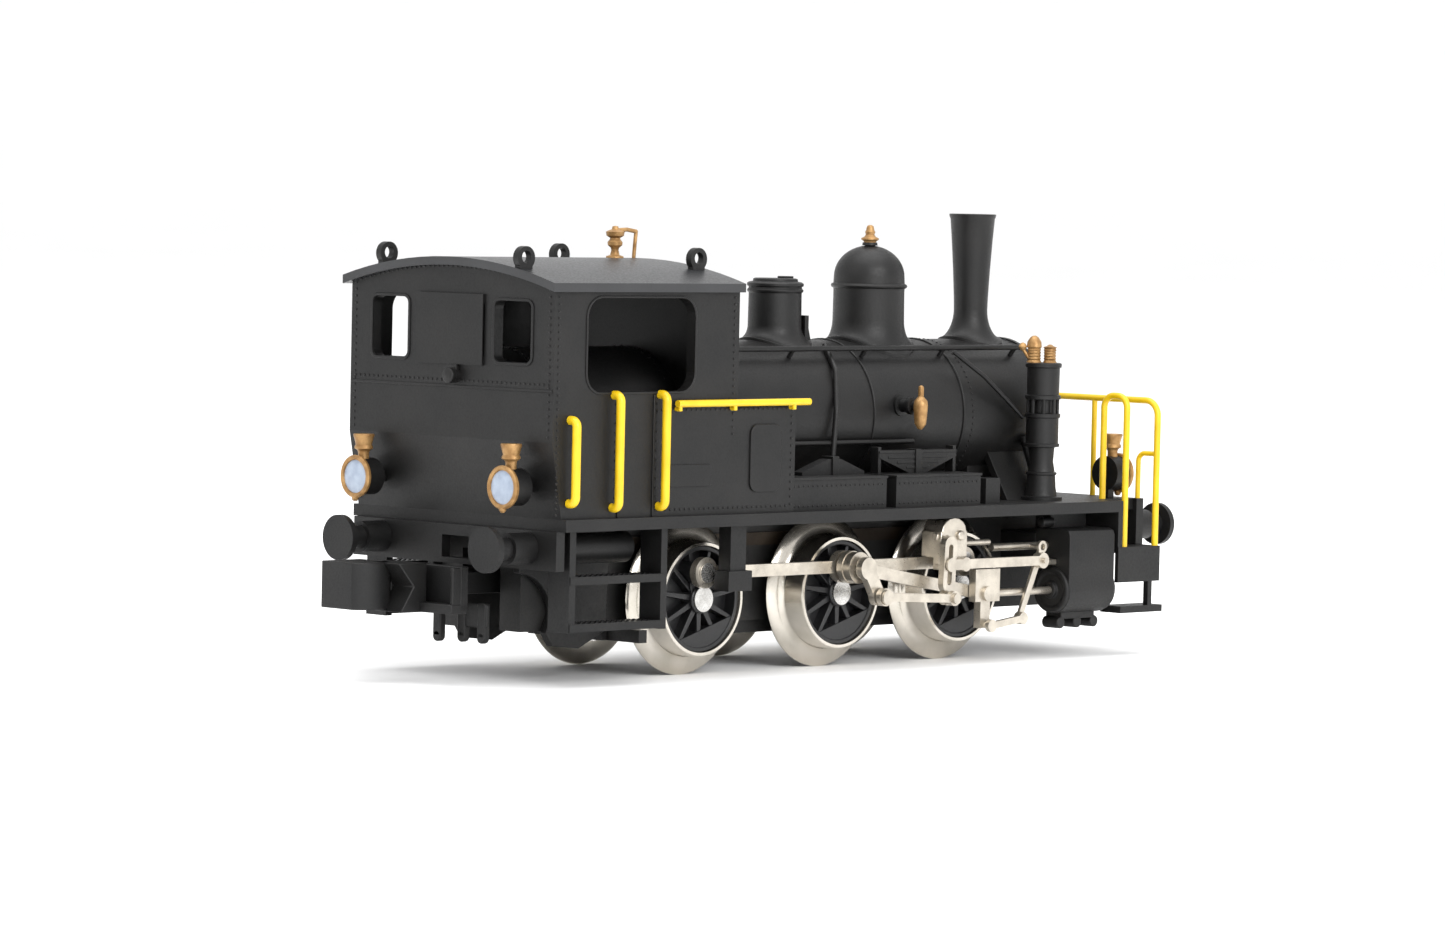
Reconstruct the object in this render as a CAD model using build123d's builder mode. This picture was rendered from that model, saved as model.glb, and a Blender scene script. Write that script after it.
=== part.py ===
from build123d import *
import math
import os

os.makedirs("parts", exist_ok=True)

# Model steam locomotive, three coupled axles, side tanks, for 9 mm gauge track.
# Frame: +X runs towards the chimney, +Y to the left, +Z up. The origin lies on the surface that
# the wheel flanges stand on, under the middle of the overall length. Millimetres throughout.

# ---- driving dimensions ----
SCALE = 160
TREAD_R = 3.2
FLANGE_DEPTH = 1.05
FLANGE_R = TREAD_R + FLANGE_DEPTH
AXLE_Z = FLANGE_R
AXLE_X = (-9.0, 1.95, 11.85)
BACK_Y = 3.75
FLANGE_W = 0.4
FACE_Y = 5.64
AXLE_R = 0.75

FRONT_BUFFER_X = 28.95
REAR_BUFFER_X = -25.55
COUPLER_TIP_X = -28.95
BUFFER_Y = 5.78
BUFFER_Z = 7.43

BOARD_Z0 = 8.4
BOARD_Z = 9.05
BOARD_Y = 8.4

CAB_REAR_X = -22.85
CAB_FRONT_X = -9.0
CAB_Y = 8.0
WALL = 0.6
CAB_BEND_Z = 13.1
CAB_TUCK = 0.75
EAVES_Z = 21.55
ROOF_Y = 8.35
ROOF_RISE = 1.2
ROOF_T = 0.45
ROOF_R = (ROOF_Y ** 2 + ROOF_RISE ** 2) / (2 * ROOF_RISE)
ROOF_TOP_Z = EAVES_Z + ROOF_RISE
ROOF_AXIS_Z = ROOF_TOP_Z - ROOF_R
ROOF_X0 = -23.25
ROOF_X1 = -8.9

TANK_X1 = -4.45
TANK_TOP_Z = 15.05

BOILER_R = 4.2
BOILER_Z = 14.0
SMOKEBOX_X1 = 20.8
BOILER_BORE_R = 3.5

CHIMNEY_X = 18.36
STEAM_DOME_X = 9.66
SAND_DOME_X = 1.95
PUMP_X = 18.6
PUMP_Y = 5.6

# Motion: the crank circle, the layers outboard of the wheels, and the rest angle of the right crank.
CRANK_R = 250 / SCALE
RIGHT_CRANK_DEG = 106.7
LEFT_CRANK_DEG = RIGHT_CRANK_DEG - 90
RETURN_R = 0.51
RETURN_LAG_DEG = 118
CRANK_PIN_R = 0.35
PIN_PLAY = 0.07
COUPLING_Y = (5.9, 6.35)
MAIN_Y = (6.55, 6.95)
MAIN_BOSS_Y = 7.5
RETURN_Y = (7.75, 8.2)
ECCENTRIC_Y = (8.32, 8.66)
OUTER_PIN_Y = 8.85
MAIN_ROD_LENGTH = 10.7
CYLINDER_Z = 3.95
CYLINDER_Y = 7.2
CYLINDER_R = 1.35
CYLINDER_X = (18.0, 21.9)
PISTON_ROD_R = 0.22
LINK_X = 8.25
LINK_Z = 5.75
LINK_ARM = 1.87
RADIUS_ROD_END_X = 16.2
LEVER_LENGTH = 3.6
LEVER_Y = (7.54, 7.72)
UNION_Y = (7.76, 8.02)
UNION_Z = 2.15
VALVE_RISE = 0.75
SPINDLE_Y = 6.62
SPINDLE_R = 0.22

WORM_Z = 11.6
IDLER_Z = 8.55
GEAR_R = 2.1
GEAR_TEETH = 20
GEAR_HALF_W = 0.7


# ---- shared shapes, each used inside a BuildPart block ----
def block(x0, x1, y0, y1, z0, z1, mode=Mode.ADD):
    with Locations(((x0 + x1) / 2, (y0 + y1) / 2, (z0 + z1) / 2)):
        Box(x1 - x0, y1 - y0, z1 - z0, mode=mode)


def beside(side, near, far):
    """The Y range between two distances from the centre line, on the side -1 or 1."""
    return sorted((side * near, side * far))


def drum_x(x0, x1, y, z, radius, mode=Mode.ADD):
    with Locations(Location(((x0 + x1) / 2, y, z), (0, 90, 0))):
        Cylinder(radius, abs(x1 - x0), mode=mode)


def drum_y(x, y0, y1, z, radius, mode=Mode.ADD):
    with Locations(Location((x, (y0 + y1) / 2, z), (90, 0, 0))):
        Cylinder(radius, abs(y1 - y0), mode=mode)


def drum_z(x, y, z0, z1, radius, mode=Mode.ADD):
    with Locations((x, y, (z0 + z1) / 2)):
        Cylinder(radius, abs(z1 - z0), mode=mode)


def bent_rod(points, radius, bend):
    # A round rod along straight runs joined by arcs of one bend radius.
    with BuildLine() as path:
        if len(points) > 2:
            FilletPolyline(*points, radius=bend)
        else:
            Line(*points)
    with BuildSketch(Plane(path.line @ 0, z_dir=path.line % 0)) as section:
        Circle(radius)
    sweep(sections=section.sketch, path=path.line)


def clear_of_roof():
    # Takes away everything below the outer surface of the roof.
    drum_x(ROOF_X0 - 2, ROOF_X1 + 2, 0, ROOF_AXIS_Z, ROOF_R, mode=Mode.SUBTRACT)


def clear_of_boiler(play=0.0):
    # Takes away everything inside the boiler and smokebox barrel.
    drum_x(CAB_FRONT_X - 1, SMOKEBOX_X1 + 1, 0, BOILER_Z, BOILER_R + play, mode=Mode.SUBTRACT)


def rod_plate(side, y_range, start, end, half_width, eye_start, eye_end, hole_start, hole_end):
    # A flat rod with round eyes, in a layer beside the wheels. start and end are (x, z).
    y0, y1 = y_range
    dx = end[0] - start[0]
    dz = end[1] - start[1]
    angle = math.degrees(math.atan2(dz, dx))
    middle = ((start[0] + end[0]) / 2, (start[1] + end[1]) / 2)
    with BuildSketch(Plane((0, side * y0, 0), x_dir=(1, 0, 0), z_dir=(0, -1, 0))) as outline:
        with Locations(Location((middle[0], middle[1], 0), (0, 0, angle))):
            Rectangle(math.hypot(dx, dz), 2 * half_width)
        with Locations((start[0], start[1])):
            Circle(eye_start)
        with Locations((end[0], end[1])):
            Circle(eye_end)
        if hole_start:
            with Locations((start[0], start[1])):
                Circle(hole_start, mode=Mode.SUBTRACT)
        if hole_end:
            with Locations((end[0], end[1])):
                Circle(hole_end, mode=Mode.SUBTRACT)
    extrude(outline.sketch, amount=-side * (y1 - y0))


# ---- cab ----
cab_top = Plane.YZ.offset(CAB_REAR_X)
cab_length = CAB_FRONT_X - CAB_REAR_X


def cab_profile(inset):
    # The cab's outline seen from behind: straight sides under an arched top.
    side_y = CAB_Y - inset
    under_roof = ROOF_R - ROOF_T
    corner_z = ROOF_AXIS_Z + math.sqrt(under_roof ** 2 - side_y ** 2)
    with BuildLine() as outline:
        Polyline((-side_y, corner_z), (-side_y, BOARD_Z), (side_y, BOARD_Z), (side_y, corner_z))
        ThreePointArc((side_y, corner_z), (0, ROOF_AXIS_Z + under_roof), (-side_y, corner_z))
    return outline.line.edges()


def cab_side_outline(inset):
    # The cab seen from the side: the rear wall tucks in below the bend.
    rear = CAB_REAR_X + inset
    front = CAB_FRONT_X - inset
    with BuildLine() as outline:
        Polyline(
            (rear, ROOF_TOP_Z + 1),
            (rear, CAB_BEND_Z),
            (rear + CAB_TUCK, BOARD_Z),
            (front, BOARD_Z),
            (front, ROOF_TOP_Z + 1),
            close=True,
        )
    return outline.line.edges()


with BuildPart() as cab_space:
    with BuildSketch(cab_top):
        make_face(cab_profile(WALL))
    extrude(amount=cab_length)
    with BuildSketch(Plane.XZ):
        make_face(cab_side_outline(WALL))
    extrude(amount=CAB_Y, both=True, mode=Mode.INTERSECT)

SIDE_WINDOW = (-20.4, -12.4, 15.75, 20.75)
REAR_WINDOW = (3.4, 6.25, 17.25, 20.5)
FRONT_WINDOW = (4.75, 6.95, 17.4, 20.2)
with BuildPart() as cab_shell:
    with BuildSketch(cab_top):
        make_face(cab_profile(0))
    extrude(amount=cab_length)
    with BuildSketch(Plane.XZ):
        make_face(cab_side_outline(0))
    extrude(amount=CAB_Y, both=True, mode=Mode.INTERSECT)
    add(cab_space.part, mode=Mode.SUBTRACT)
    # side openings
    with BuildSketch(Plane.XZ):
        with Locations(((SIDE_WINDOW[0] + SIDE_WINDOW[1]) / 2, (SIDE_WINDOW[2] + SIDE_WINDOW[3]) / 2)):
            RectangleRounded(SIDE_WINDOW[1] - SIDE_WINDOW[0], SIDE_WINDOW[3] - SIDE_WINDOW[2], 1.0)
    extrude(amount=CAB_Y + 1, both=True, mode=Mode.SUBTRACT)
    # rear windows
    with BuildSketch(Plane.YZ.offset(CAB_REAR_X - 1)):
        for side in (-1, 1):
            y_middle = side * (REAR_WINDOW[0] + REAR_WINDOW[1]) / 2
            with Locations((y_middle, (REAR_WINDOW[2] + REAR_WINDOW[3]) / 2)):
                RectangleRounded(REAR_WINDOW[1] - REAR_WINDOW[0], REAR_WINDOW[3] - REAR_WINDOW[2], 0.45)
    extrude(amount=WALL + 2, mode=Mode.SUBTRACT)
    # front windows and the hole that the boiler ends at
    with BuildSketch(Plane.YZ.offset(CAB_FRONT_X - WALL - 0.5)):
        for side in (-1, 1):
            y_middle = side * (FRONT_WINDOW[0] + FRONT_WINDOW[1]) / 2
            with Locations((y_middle, (FRONT_WINDOW[2] + FRONT_WINDOW[3]) / 2)):
                RectangleRounded(FRONT_WINDOW[1] - FRONT_WINDOW[0], FRONT_WINDOW[3] - FRONT_WINDOW[2], 0.6)
        with Locations((0, BOILER_Z)):
            Circle(BOILER_BORE_R)
    extrude(amount=WALL + 1, mode=Mode.SUBTRACT)
    # raised centre panel with its lock
    block(CAB_REAR_X - 0.15, CAB_REAR_X, -2.6, 2.6, 17.0, 20.8)
    drum_x(CAB_REAR_X - 0.5, CAB_REAR_X, -0.45, 16.4, 0.4)
cab_shell.part.label = "cab_shell"
export_step(cab_shell.part, "parts/cab_shell.step")

with BuildPart() as cab_roof:
    with BuildSketch(Plane.YZ.offset(ROOF_X0)):
        with BuildLine():
            lower_r = ROOF_R - ROOF_T
            lower_edge_z = ROOF_AXIS_Z + math.sqrt(lower_r ** 2 - ROOF_Y ** 2)
            ThreePointArc((-ROOF_Y, EAVES_Z), (0, ROOF_TOP_Z), (ROOF_Y, EAVES_Z))
            Line((ROOF_Y, EAVES_Z), (ROOF_Y, lower_edge_z))
            ThreePointArc((ROOF_Y, lower_edge_z), (0, ROOF_TOP_Z - ROOF_T), (-ROOF_Y, lower_edge_z))
            Line((-ROOF_Y, lower_edge_z), (-ROOF_Y, EAVES_Z))
        make_face()
    extrude(amount=ROOF_X1 - ROOF_X0)
cab_roof.part.label = "cab_roof"
export_step(cab_roof.part, "parts/cab_roof.step")

EYE_R = 0.62
EYE_HOLE_R = 0.33
EYE_T = 0.4
with BuildPart() as lifting_eyes:
    for x in (CAB_REAR_X + 0.15, -9.8):
        for side in (-1, 1):
            eye_y = side * 5.4
            roof_z = ROOF_AXIS_Z + math.sqrt(ROOF_R ** 2 - eye_y ** 2)
            with BuildSketch(Plane.XZ.offset(-eye_y - EYE_T / 2)):
                with Locations((x, roof_z + 0.55)):
                    Circle(EYE_R)
                with Locations((x, roof_z + 0.1)):
                    Rectangle(0.9, 0.7)
                with Locations((x, roof_z + 0.6)):
                    Circle(EYE_HOLE_R, mode=Mode.SUBTRACT)
            extrude(amount=EYE_T)
    clear_of_roof()
lifting_eyes.part.label = "lifting_eyes"
export_step(lifting_eyes.part, "parts/lifting_eyes.step")

WHISTLE_X = -10.75
with BuildPart() as whistle:
    drum_z(WHISTLE_X, 0, ROOF_TOP_Z - 0.2, ROOF_TOP_Z + 0.35, 0.55)
    drum_z(WHISTLE_X, 0, ROOF_TOP_Z + 0.3, ROOF_TOP_Z + 0.75, 0.25)
    drum_z(WHISTLE_X, 0, ROOF_TOP_Z + 0.7, ROOF_TOP_Z + 1.75, 0.42)
    block(WHISTLE_X, WHISTLE_X + 1.75, -0.12, 0.12, ROOF_TOP_Z + 1.45, ROOF_TOP_Z + 1.65)
    block(WHISTLE_X + 1.5, WHISTLE_X + 1.72, -0.12, 0.12, ROOF_TOP_Z - 0.2, ROOF_TOP_Z + 1.5)
    clear_of_roof()
whistle.part.label = "whistle"
export_step(whistle.part, "parts/whistle.step")

COVER_X = (-19.4, -9.65)
COVER_Y = 4.5
COVER_Z = 13.4
with BuildPart() as motor_cover:
    with BuildSketch(Plane.YZ.offset(COVER_X[0])):
        with Locations((0, COVER_Z)):
            Circle(COVER_Y)
    extrude(amount=COVER_X[1] - COVER_X[0])
    block(*COVER_X, -COVER_Y, COVER_Y, BOARD_Z, COVER_Z)
    block(*COVER_X, -COVER_Y, COVER_Y, BOARD_Z - 6, BOARD_Z, mode=Mode.SUBTRACT)
    drum_x(COVER_X[0] + 0.6, COVER_X[1], 0, COVER_Z, COVER_Y - 0.5, mode=Mode.SUBTRACT)
    block(COVER_X[0] + 0.6, COVER_X[1], -COVER_Y + 0.5, COVER_Y - 0.5, BOARD_Z - 1, COVER_Z,
          mode=Mode.SUBTRACT)
motor_cover.part.label = "motor_cover"
export_step(motor_cover.part, "parts/motor_cover.step")

# ---- tanks, boiler and what stands on them ----
with BuildPart() as side_tanks:
    for side in (-1, 1):
        block(CAB_FRONT_X, TANK_X1, *beside(side, 2.5, CAB_Y), BOARD_Z, TANK_TOP_Z)
    fillet(side_tanks.edges().filter_by(Axis.X).group_by(Axis.Z)[-1], 0.3)
    clear_of_boiler()
    block(CAB_FRONT_X, TANK_X1, -3.9, 3.9, BOARD_Z, BOILER_Z - 1, mode=Mode.SUBTRACT)
side_tanks.part.label = "side_tanks"
export_step(side_tanks.part, "parts/side_tanks.step")

with BuildPart() as boiler:
    drum_x(CAB_FRONT_X, SMOKEBOX_X1, 0, BOILER_Z, BOILER_R)
    block(15.2, 20.4, -2.9, 2.9, BOARD_Z, BOILER_Z - 2)
    drum_x(CAB_FRONT_X, 12.0, 0, BOILER_Z, BOILER_BORE_R, mode=Mode.SUBTRACT)
    block(-1.2, 5.1, -1.2, 1.2, BOARD_Z, BOILER_Z - 2, mode=Mode.SUBTRACT)
boiler.part.label = "boiler"
export_step(boiler.part, "parts/boiler.step")

with BuildPart() as smokebox_door:
    drum_x(SMOKEBOX_X1, SMOKEBOX_X1 + 0.5, 0, BOILER_Z, 3.5)
    drum_x(SMOKEBOX_X1 + 0.5, SMOKEBOX_X1 + 0.8, 0, BOILER_Z, 2.9)
    drum_x(SMOKEBOX_X1 + 0.8, SMOKEBOX_X1 + 1.5, 0, BOILER_Z, 0.4)
    block(SMOKEBOX_X1 + 1.2, SMOKEBOX_X1 + 1.4, -0.12, 0.12, BOILER_Z - 1.5, BOILER_Z)
smokebox_door.part.label = "smokebox_door"
export_step(smokebox_door.part, "parts/smokebox_door.step")

CHIMNEY_TOP_Z = 25.5
with BuildPart() as chimney:
    with BuildSketch(Plane.XZ):
        with BuildLine():
            Polyline((0, 17.4), (1.85, 17.4), (1.85, 18.1))
            ThreePointArc((1.85, 18.1), (1.25, 18.5), (0.97, 19.3))
            Polyline((0.97, 19.3), (1.24, 25.2), (1.34, 25.25), (1.34, CHIMNEY_TOP_Z), (0.95, CHIMNEY_TOP_Z))
            Polyline((0.95, CHIMNEY_TOP_Z), (0.7, 19.5), (0, 19.5), (0, 17.4))
        make_face()
    revolve(axis=Axis.Z)
    drum_x(-5, 5, 0, BOILER_Z, BOILER_R, mode=Mode.SUBTRACT)
chimney.part = chimney.part.moved(Location((CHIMNEY_X, 0, 0)))
chimney.part.label = "chimney"
export_step(chimney.part, "parts/chimney.step")

DOME_R = 2.05
DOME_BAND_R = DOME_R + 0.1
DOME_SHOULDER_Z = 21.45
DOME_TOP_Z = DOME_SHOULDER_Z + DOME_BAND_R
with BuildPart() as steam_dome:
    with BuildSketch(Plane.XZ):
        with BuildLine():
            Polyline((0, 16.5), (2.75, 16.5), (2.75, 17.6))
            ThreePointArc((2.75, 17.6), (2.2, 18.0), (DOME_R, 18.9))
            Polyline((DOME_R, 18.9), (DOME_R, 21.1), (DOME_BAND_R, 21.15), (DOME_BAND_R, DOME_SHOULDER_Z))
            RadiusArc((DOME_BAND_R, DOME_SHOULDER_Z), (0, DOME_TOP_Z), -DOME_BAND_R)
            Line((0, DOME_TOP_Z), (0, 16.5))
        make_face()
    revolve(axis=Axis.Z)
    drum_x(-5, 5, 0, BOILER_Z, BOILER_R, mode=Mode.SUBTRACT)
steam_dome.part = steam_dome.part.moved(Location((STEAM_DOME_X, 0, 0)))
steam_dome.part.label = "steam_dome"
export_step(steam_dome.part, "parts/steam_dome.step")

with BuildPart() as safety_valve:
    drum_z(STEAM_DOME_X, 0, DOME_TOP_Z, DOME_TOP_Z + 0.3, 0.5)
    drum_z(STEAM_DOME_X, 0, DOME_TOP_Z + 0.3, DOME_TOP_Z + 1.15, 0.3)
safety_valve.part.label = "safety_valve"
export_step(safety_valve.part, "parts/safety_valve.step")

with BuildPart() as sand_dome:
    with BuildSketch(Plane.XZ):
        with BuildLine():
            Polyline((0, 16.8), (2.3, 16.8), (2.3, 17.9))
            ThreePointArc((2.3, 17.9), (1.75, 18.2), (1.55, 18.9))
            Polyline((1.55, 18.9), (1.58, 20.7), (1.72, 20.75), (1.72, 20.95), (1.45, 21.2), (1.2, 21.2))
            Polyline((1.2, 21.2), (1.2, 21.5), (0, 21.5), (0, 16.8))
        make_face()
    revolve(axis=Axis.Z)
    block(0.3, 1.0, -0.3, 0.3, 21.4, 21.8)
    drum_x(-5, 5, 0, BOILER_Z, BOILER_R, mode=Mode.SUBTRACT)
sand_dome.part = sand_dome.part.moved(Location((SAND_DOME_X, 0, 0)))
sand_dome.part.label = "sand_dome"
export_step(sand_dome.part, "parts/sand_dome.step")

PIPE_R = 0.16
PIPE_REACH = BOILER_R + PIPE_R + 0.03
with BuildPart() as boiler_pipes:
    for side in (-1, 1):
        around = [math.radians(a) for a in (62, 35, 5)]
        reach = PIPE_REACH * 1.02
        route = [(3.9 - 0.7 * i, side * reach * math.cos(a), BOILER_Z + reach * math.sin(a))
                 for i, a in enumerate(around)]
        bent_rod([*route, (1.9, side * 4.6, BOARD_Z)], PIPE_R, 0.8)
boiler_pipes.part.label = "boiler_pipes"
export_step(boiler_pipes.part, "parts/boiler_pipes.step")

RAIL_R = 0.16
RAIL_REACH = BOILER_R + 0.62
RAIL_DEG = 52
with BuildPart() as boiler_handrails:
    for side in (-1, 1):
        rail_y = side * RAIL_REACH * math.cos(math.radians(RAIL_DEG))
        rail_z = BOILER_Z + RAIL_REACH * math.sin(math.radians(RAIL_DEG))
        drum_x(CAB_FRONT_X, 19.4, rail_y, rail_z, RAIL_R)
        knob_y = side * (BOILER_R + 0.26) * math.cos(math.radians(RAIL_DEG))
        knob_z = BOILER_Z + (BOILER_R + 0.26) * math.sin(math.radians(RAIL_DEG))
        for x in (-6.5, 0.5, 6.4, 12.9, 19.0):
            with Locations(Location((x, knob_y, knob_z), (-side * (90 - RAIL_DEG), 0, 0))):
                Cylinder(0.14, 0.5)
boiler_handrails.part.label = "boiler_handrails"
export_step(boiler_handrails.part, "parts/boiler_handrails.step")

CLACK_X = 8.1
CLACK_Y = 5.7
CLACK_Z = 14.6
CLACK_STUB_R = 0.25
CLACK_BODY_R = 0.34
CLACK_NECK_R = 0.17
with BuildPart() as clack_valves:
    for side in (-1, 1):
        drum_y(CLACK_X, side * (BOILER_R + 0.05), side * (BOILER_R + 0.4), CLACK_Z, CLACK_STUB_R + 0.2)
        drum_y(CLACK_X, side * (BOILER_R + 0.05), side * CLACK_Y, CLACK_Z, CLACK_STUB_R)
        drum_z(CLACK_X, side * CLACK_Y, CLACK_Z - 1.3, CLACK_Z + 0.4, CLACK_BODY_R)
        drum_z(CLACK_X, side * CLACK_Y, CLACK_Z + 0.4, CLACK_Z + 1.15, CLACK_NECK_R)
clack_valves.part.label = "clack_valves"
export_step(clack_valves.part, "parts/clack_valves.step")

PUMP_TOP_Z = 17.0
PUMP_STEPS = (
    (BOARD_Z, 9.3, 1.3), (9.3, 11.9, 0.85), (11.9, 12.15, 1.0), (12.15, 13.9, 0.9), (13.9, 14.1, 1.0),
    (14.1, 14.9, 0.6), (14.9, 15.1, 1.0), (15.1, 16.75, 0.92), (16.75, PUMP_TOP_Z, 1.05),
)
with BuildPart() as air_pump:
    for z0, z1, radius in PUMP_STEPS:
        drum_z(PUMP_X, -PUMP_Y, z0, z1, radius)
    clear_of_boiler()
air_pump.part.label = "air_pump"
export_step(air_pump.part, "parts/air_pump.step")

with BuildPart() as lubricators:
    for x, y, top_z in ((PUMP_X - 0.35, -PUMP_Y + 0.45, 18.6), (PUMP_X + 0.35, -PUMP_Y - 0.15, 18.1)):
        drum_z(x, y, PUMP_TOP_Z, top_z - 0.3, 0.3)
        drum_z(x, y, top_z - 0.7, top_z, 0.36)
lubricators.part.label = "lubricators"
export_step(lubricators.part, "parts/lubricators.step")

# ---- footplate and what stands on it ----
BOARD_X = (-22.1, 22.7)
FRONT_DECK_X = 25.5
FRONT_DECK_Y = 6.7
WELL_X = (-19.0, 5.6)
WELL_Y = 3.9
FLANGE_POCKET_Y = (3.45, 4.45)
with BuildPart() as running_board:
    block(*BOARD_X, -BOARD_Y, BOARD_Y, BOARD_Z0, BOARD_Z)
    block(BOARD_X[1], FRONT_DECK_X, -FRONT_DECK_Y, FRONT_DECK_Y, BOARD_Z0, BOARD_Z)
    block(*WELL_X, -WELL_Y, WELL_Y, BOARD_Z0, BOARD_Z, mode=Mode.SUBTRACT)
    for axle in AXLE_X:
        for side in (-1, 1):
            y0 = min(side * FLANGE_POCKET_Y[0], side * FLANGE_POCKET_Y[1])
            block(axle - 1.4, axle + 1.4, y0, y0 + 1.0, BOARD_Z0, BOARD_Z0 + 0.3, mode=Mode.SUBTRACT)
running_board.part.label = "running_board"
export_step(running_board.part, "parts/running_board.step")

SPRING_Y = 5.6
with BuildPart() as tool_boxes:
    for side in (-1, 1):
        for x0, x1, depth in ((-4.3, 3.4, 2.2), (4.2, 11.2, 2.6)):
            y0 = min(side * (7.6 - depth), side * 7.6)
            block(x0, x1, y0, y0 + depth, BOARD_Z, 10.75)
        block(12.1, 13.3, *beside(side, 6.2, 7.2), BOARD_Z, 10.5)
    # leaf springs above the board: one hung upside down, one upright
    for side in (-1, 1):
        spring_y = side * SPRING_Y
        for centre, rise in ((10.6 - 2.9, -1), (0.9, 1)):
            with BuildSketch(Plane.XZ.offset(-spring_y - 0.35)):
                with BuildLine():
                    if rise < 0:
                        Polyline((centre - 3.2, 12.1), (centre + 3.2, 12.1), (centre + 3.2, 11.75),
                                 (centre + 0.4, 10.75), (centre - 0.4, 10.75), (centre - 3.2, 11.75),
                                 close=True)
                    else:
                        Polyline((centre - 2.6, 10.75), (centre + 2.4, 10.75), (centre + 2.4, 11.05),
                                 (centre + 0.5, 11.75), (centre - 0.5, 11.75), (centre - 2.6, 11.05),
                                 close=True)
                make_face()
            extrude(amount=0.7)
tool_boxes.part.label = "tool_boxes"
export_step(tool_boxes.part, "parts/tool_boxes.step")

BEAM_T = 0.6
REAR_BEAM_X = -22.4
FRONT_BEAM_X = FRONT_DECK_X
BEAM_Z0 = 6.3
with BuildPart() as buffer_beams:
    block(REAR_BEAM_X, REAR_BEAM_X + BEAM_T, -CAB_Y, CAB_Y, BEAM_Z0, BOARD_Z0)
    block(REAR_BEAM_X - 0.2, REAR_BEAM_X + 1, -1.2, 0.9, 6.6, 7.8, mode=Mode.SUBTRACT)
    block(FRONT_BEAM_X, FRONT_BEAM_X + BEAM_T, -7.0, 7.0, BEAM_Z0, BOARD_Z)
buffer_beams.part.label = "buffer_beams"
export_step(buffer_beams.part, "parts/buffer_beams.step")

BUFFER_HEAD_R = 1.23
BUFFER_HEAD_T = 0.35
BUFFER_SHANK_R = 0.62
with BuildPart() as buffers:
    for side in (-1, 1):
        for face_x, beam_x in ((REAR_BUFFER_X, REAR_BEAM_X), (FRONT_BUFFER_X, FRONT_BEAM_X + BEAM_T)):
            inward = math.copysign(1, beam_x - face_x)
            head_x = face_x + inward * BUFFER_HEAD_T
            drum_x(min(face_x, head_x), max(face_x, head_x), side * BUFFER_Y, BUFFER_Z, BUFFER_HEAD_R)
            drum_x(min(head_x, beam_x), max(head_x, beam_x), side * BUFFER_Y, BUFFER_Z, BUFFER_SHANK_R)
            base_x = beam_x - inward * 1.6
            drum_x(min(base_x, beam_x), max(base_x, beam_x), side * BUFFER_Y, BUFFER_Z, 0.85)
buffers.part.label = "buffers"
export_step(buffers.part, "parts/buffers.step")

# Lamps: (face x, centre x of the cap, direction that the lens faces, height)
LAMP_R = 1.0
REAR_LAMP = (-24.45, -23.75, -1, 10.7)
FRONT_LAMP = (25.3, 24.6, 1, 10.5)
LAMPS = [(lamp, side * 5.82) for lamp in (REAR_LAMP, FRONT_LAMP) for side in (-1, 1)]
LAMP_DEPTH = 1.35
with BuildPart() as lamp_bodies:
    for (face_x, cap_x, facing, z), y in LAMPS:
        back_x = face_x - facing * LAMP_DEPTH
        drum_x(min(face_x, back_x), max(face_x, back_x), y, z, LAMP_R)
        recess = sorted((face_x, face_x - facing * 0.25))
        drum_x(*recess, y, z, LAMP_R, Mode.SUBTRACT)
        if facing < 0:
            block(back_x, CAB_REAR_X + CAB_TUCK + 0.2, y - 0.3, y + 0.3, z - 0.3, z + 0.3)
        else:
            block(back_x, back_x + 0.5, y - 0.3, y + 0.3, BOARD_Z, z)
    add(cab_space.part, mode=Mode.SUBTRACT)
    add(cab_shell.part, mode=Mode.SUBTRACT)
lamp_bodies.part.label = "lamp_bodies"
export_step(lamp_bodies.part, "parts/lamp_bodies.step")

with BuildPart() as lamp_rims:
    for (face_x, cap_x, facing, z), y in LAMPS:
        inner_x = face_x - facing * 0.25
        drum_x(min(face_x, inner_x), max(face_x, inner_x), y, z, LAMP_R + 0.15)
        drum_x(min(face_x, inner_x), max(face_x, inner_x), y, z, LAMP_R - 0.15, Mode.SUBTRACT)
for (face_x, cap_x, facing, z), y in LAMPS:
    with BuildPart(mode=Mode.PRIVATE) as cap:
        drum_z(cap_x, y, z + 0.5, z + 1.75, 0.4)
        drum_z(cap_x, y, z + 1.75, z + 2.3, 0.55)
        drum_x(min(face_x, face_x - facing * LAMP_DEPTH), max(face_x, face_x - facing * LAMP_DEPTH), y, z,
               LAMP_R + 0.15, Mode.SUBTRACT)
    lamp_rims.part = lamp_rims.part + cap.part
lamp_rims.part.label = "lamp_rims"
export_step(lamp_rims.part, "parts/lamp_rims.step")

with BuildPart() as lamp_lenses:
    for (face_x, cap_x, facing, z), y in LAMPS:
        inner_x = face_x - facing * 0.25
        drum_x(min(face_x, inner_x), max(face_x, inner_x), y, z, LAMP_R - 0.15)
lamp_lenses.part.label = "lamp_lenses"
export_step(lamp_lenses.part, "parts/lamp_lenses.step")

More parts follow.
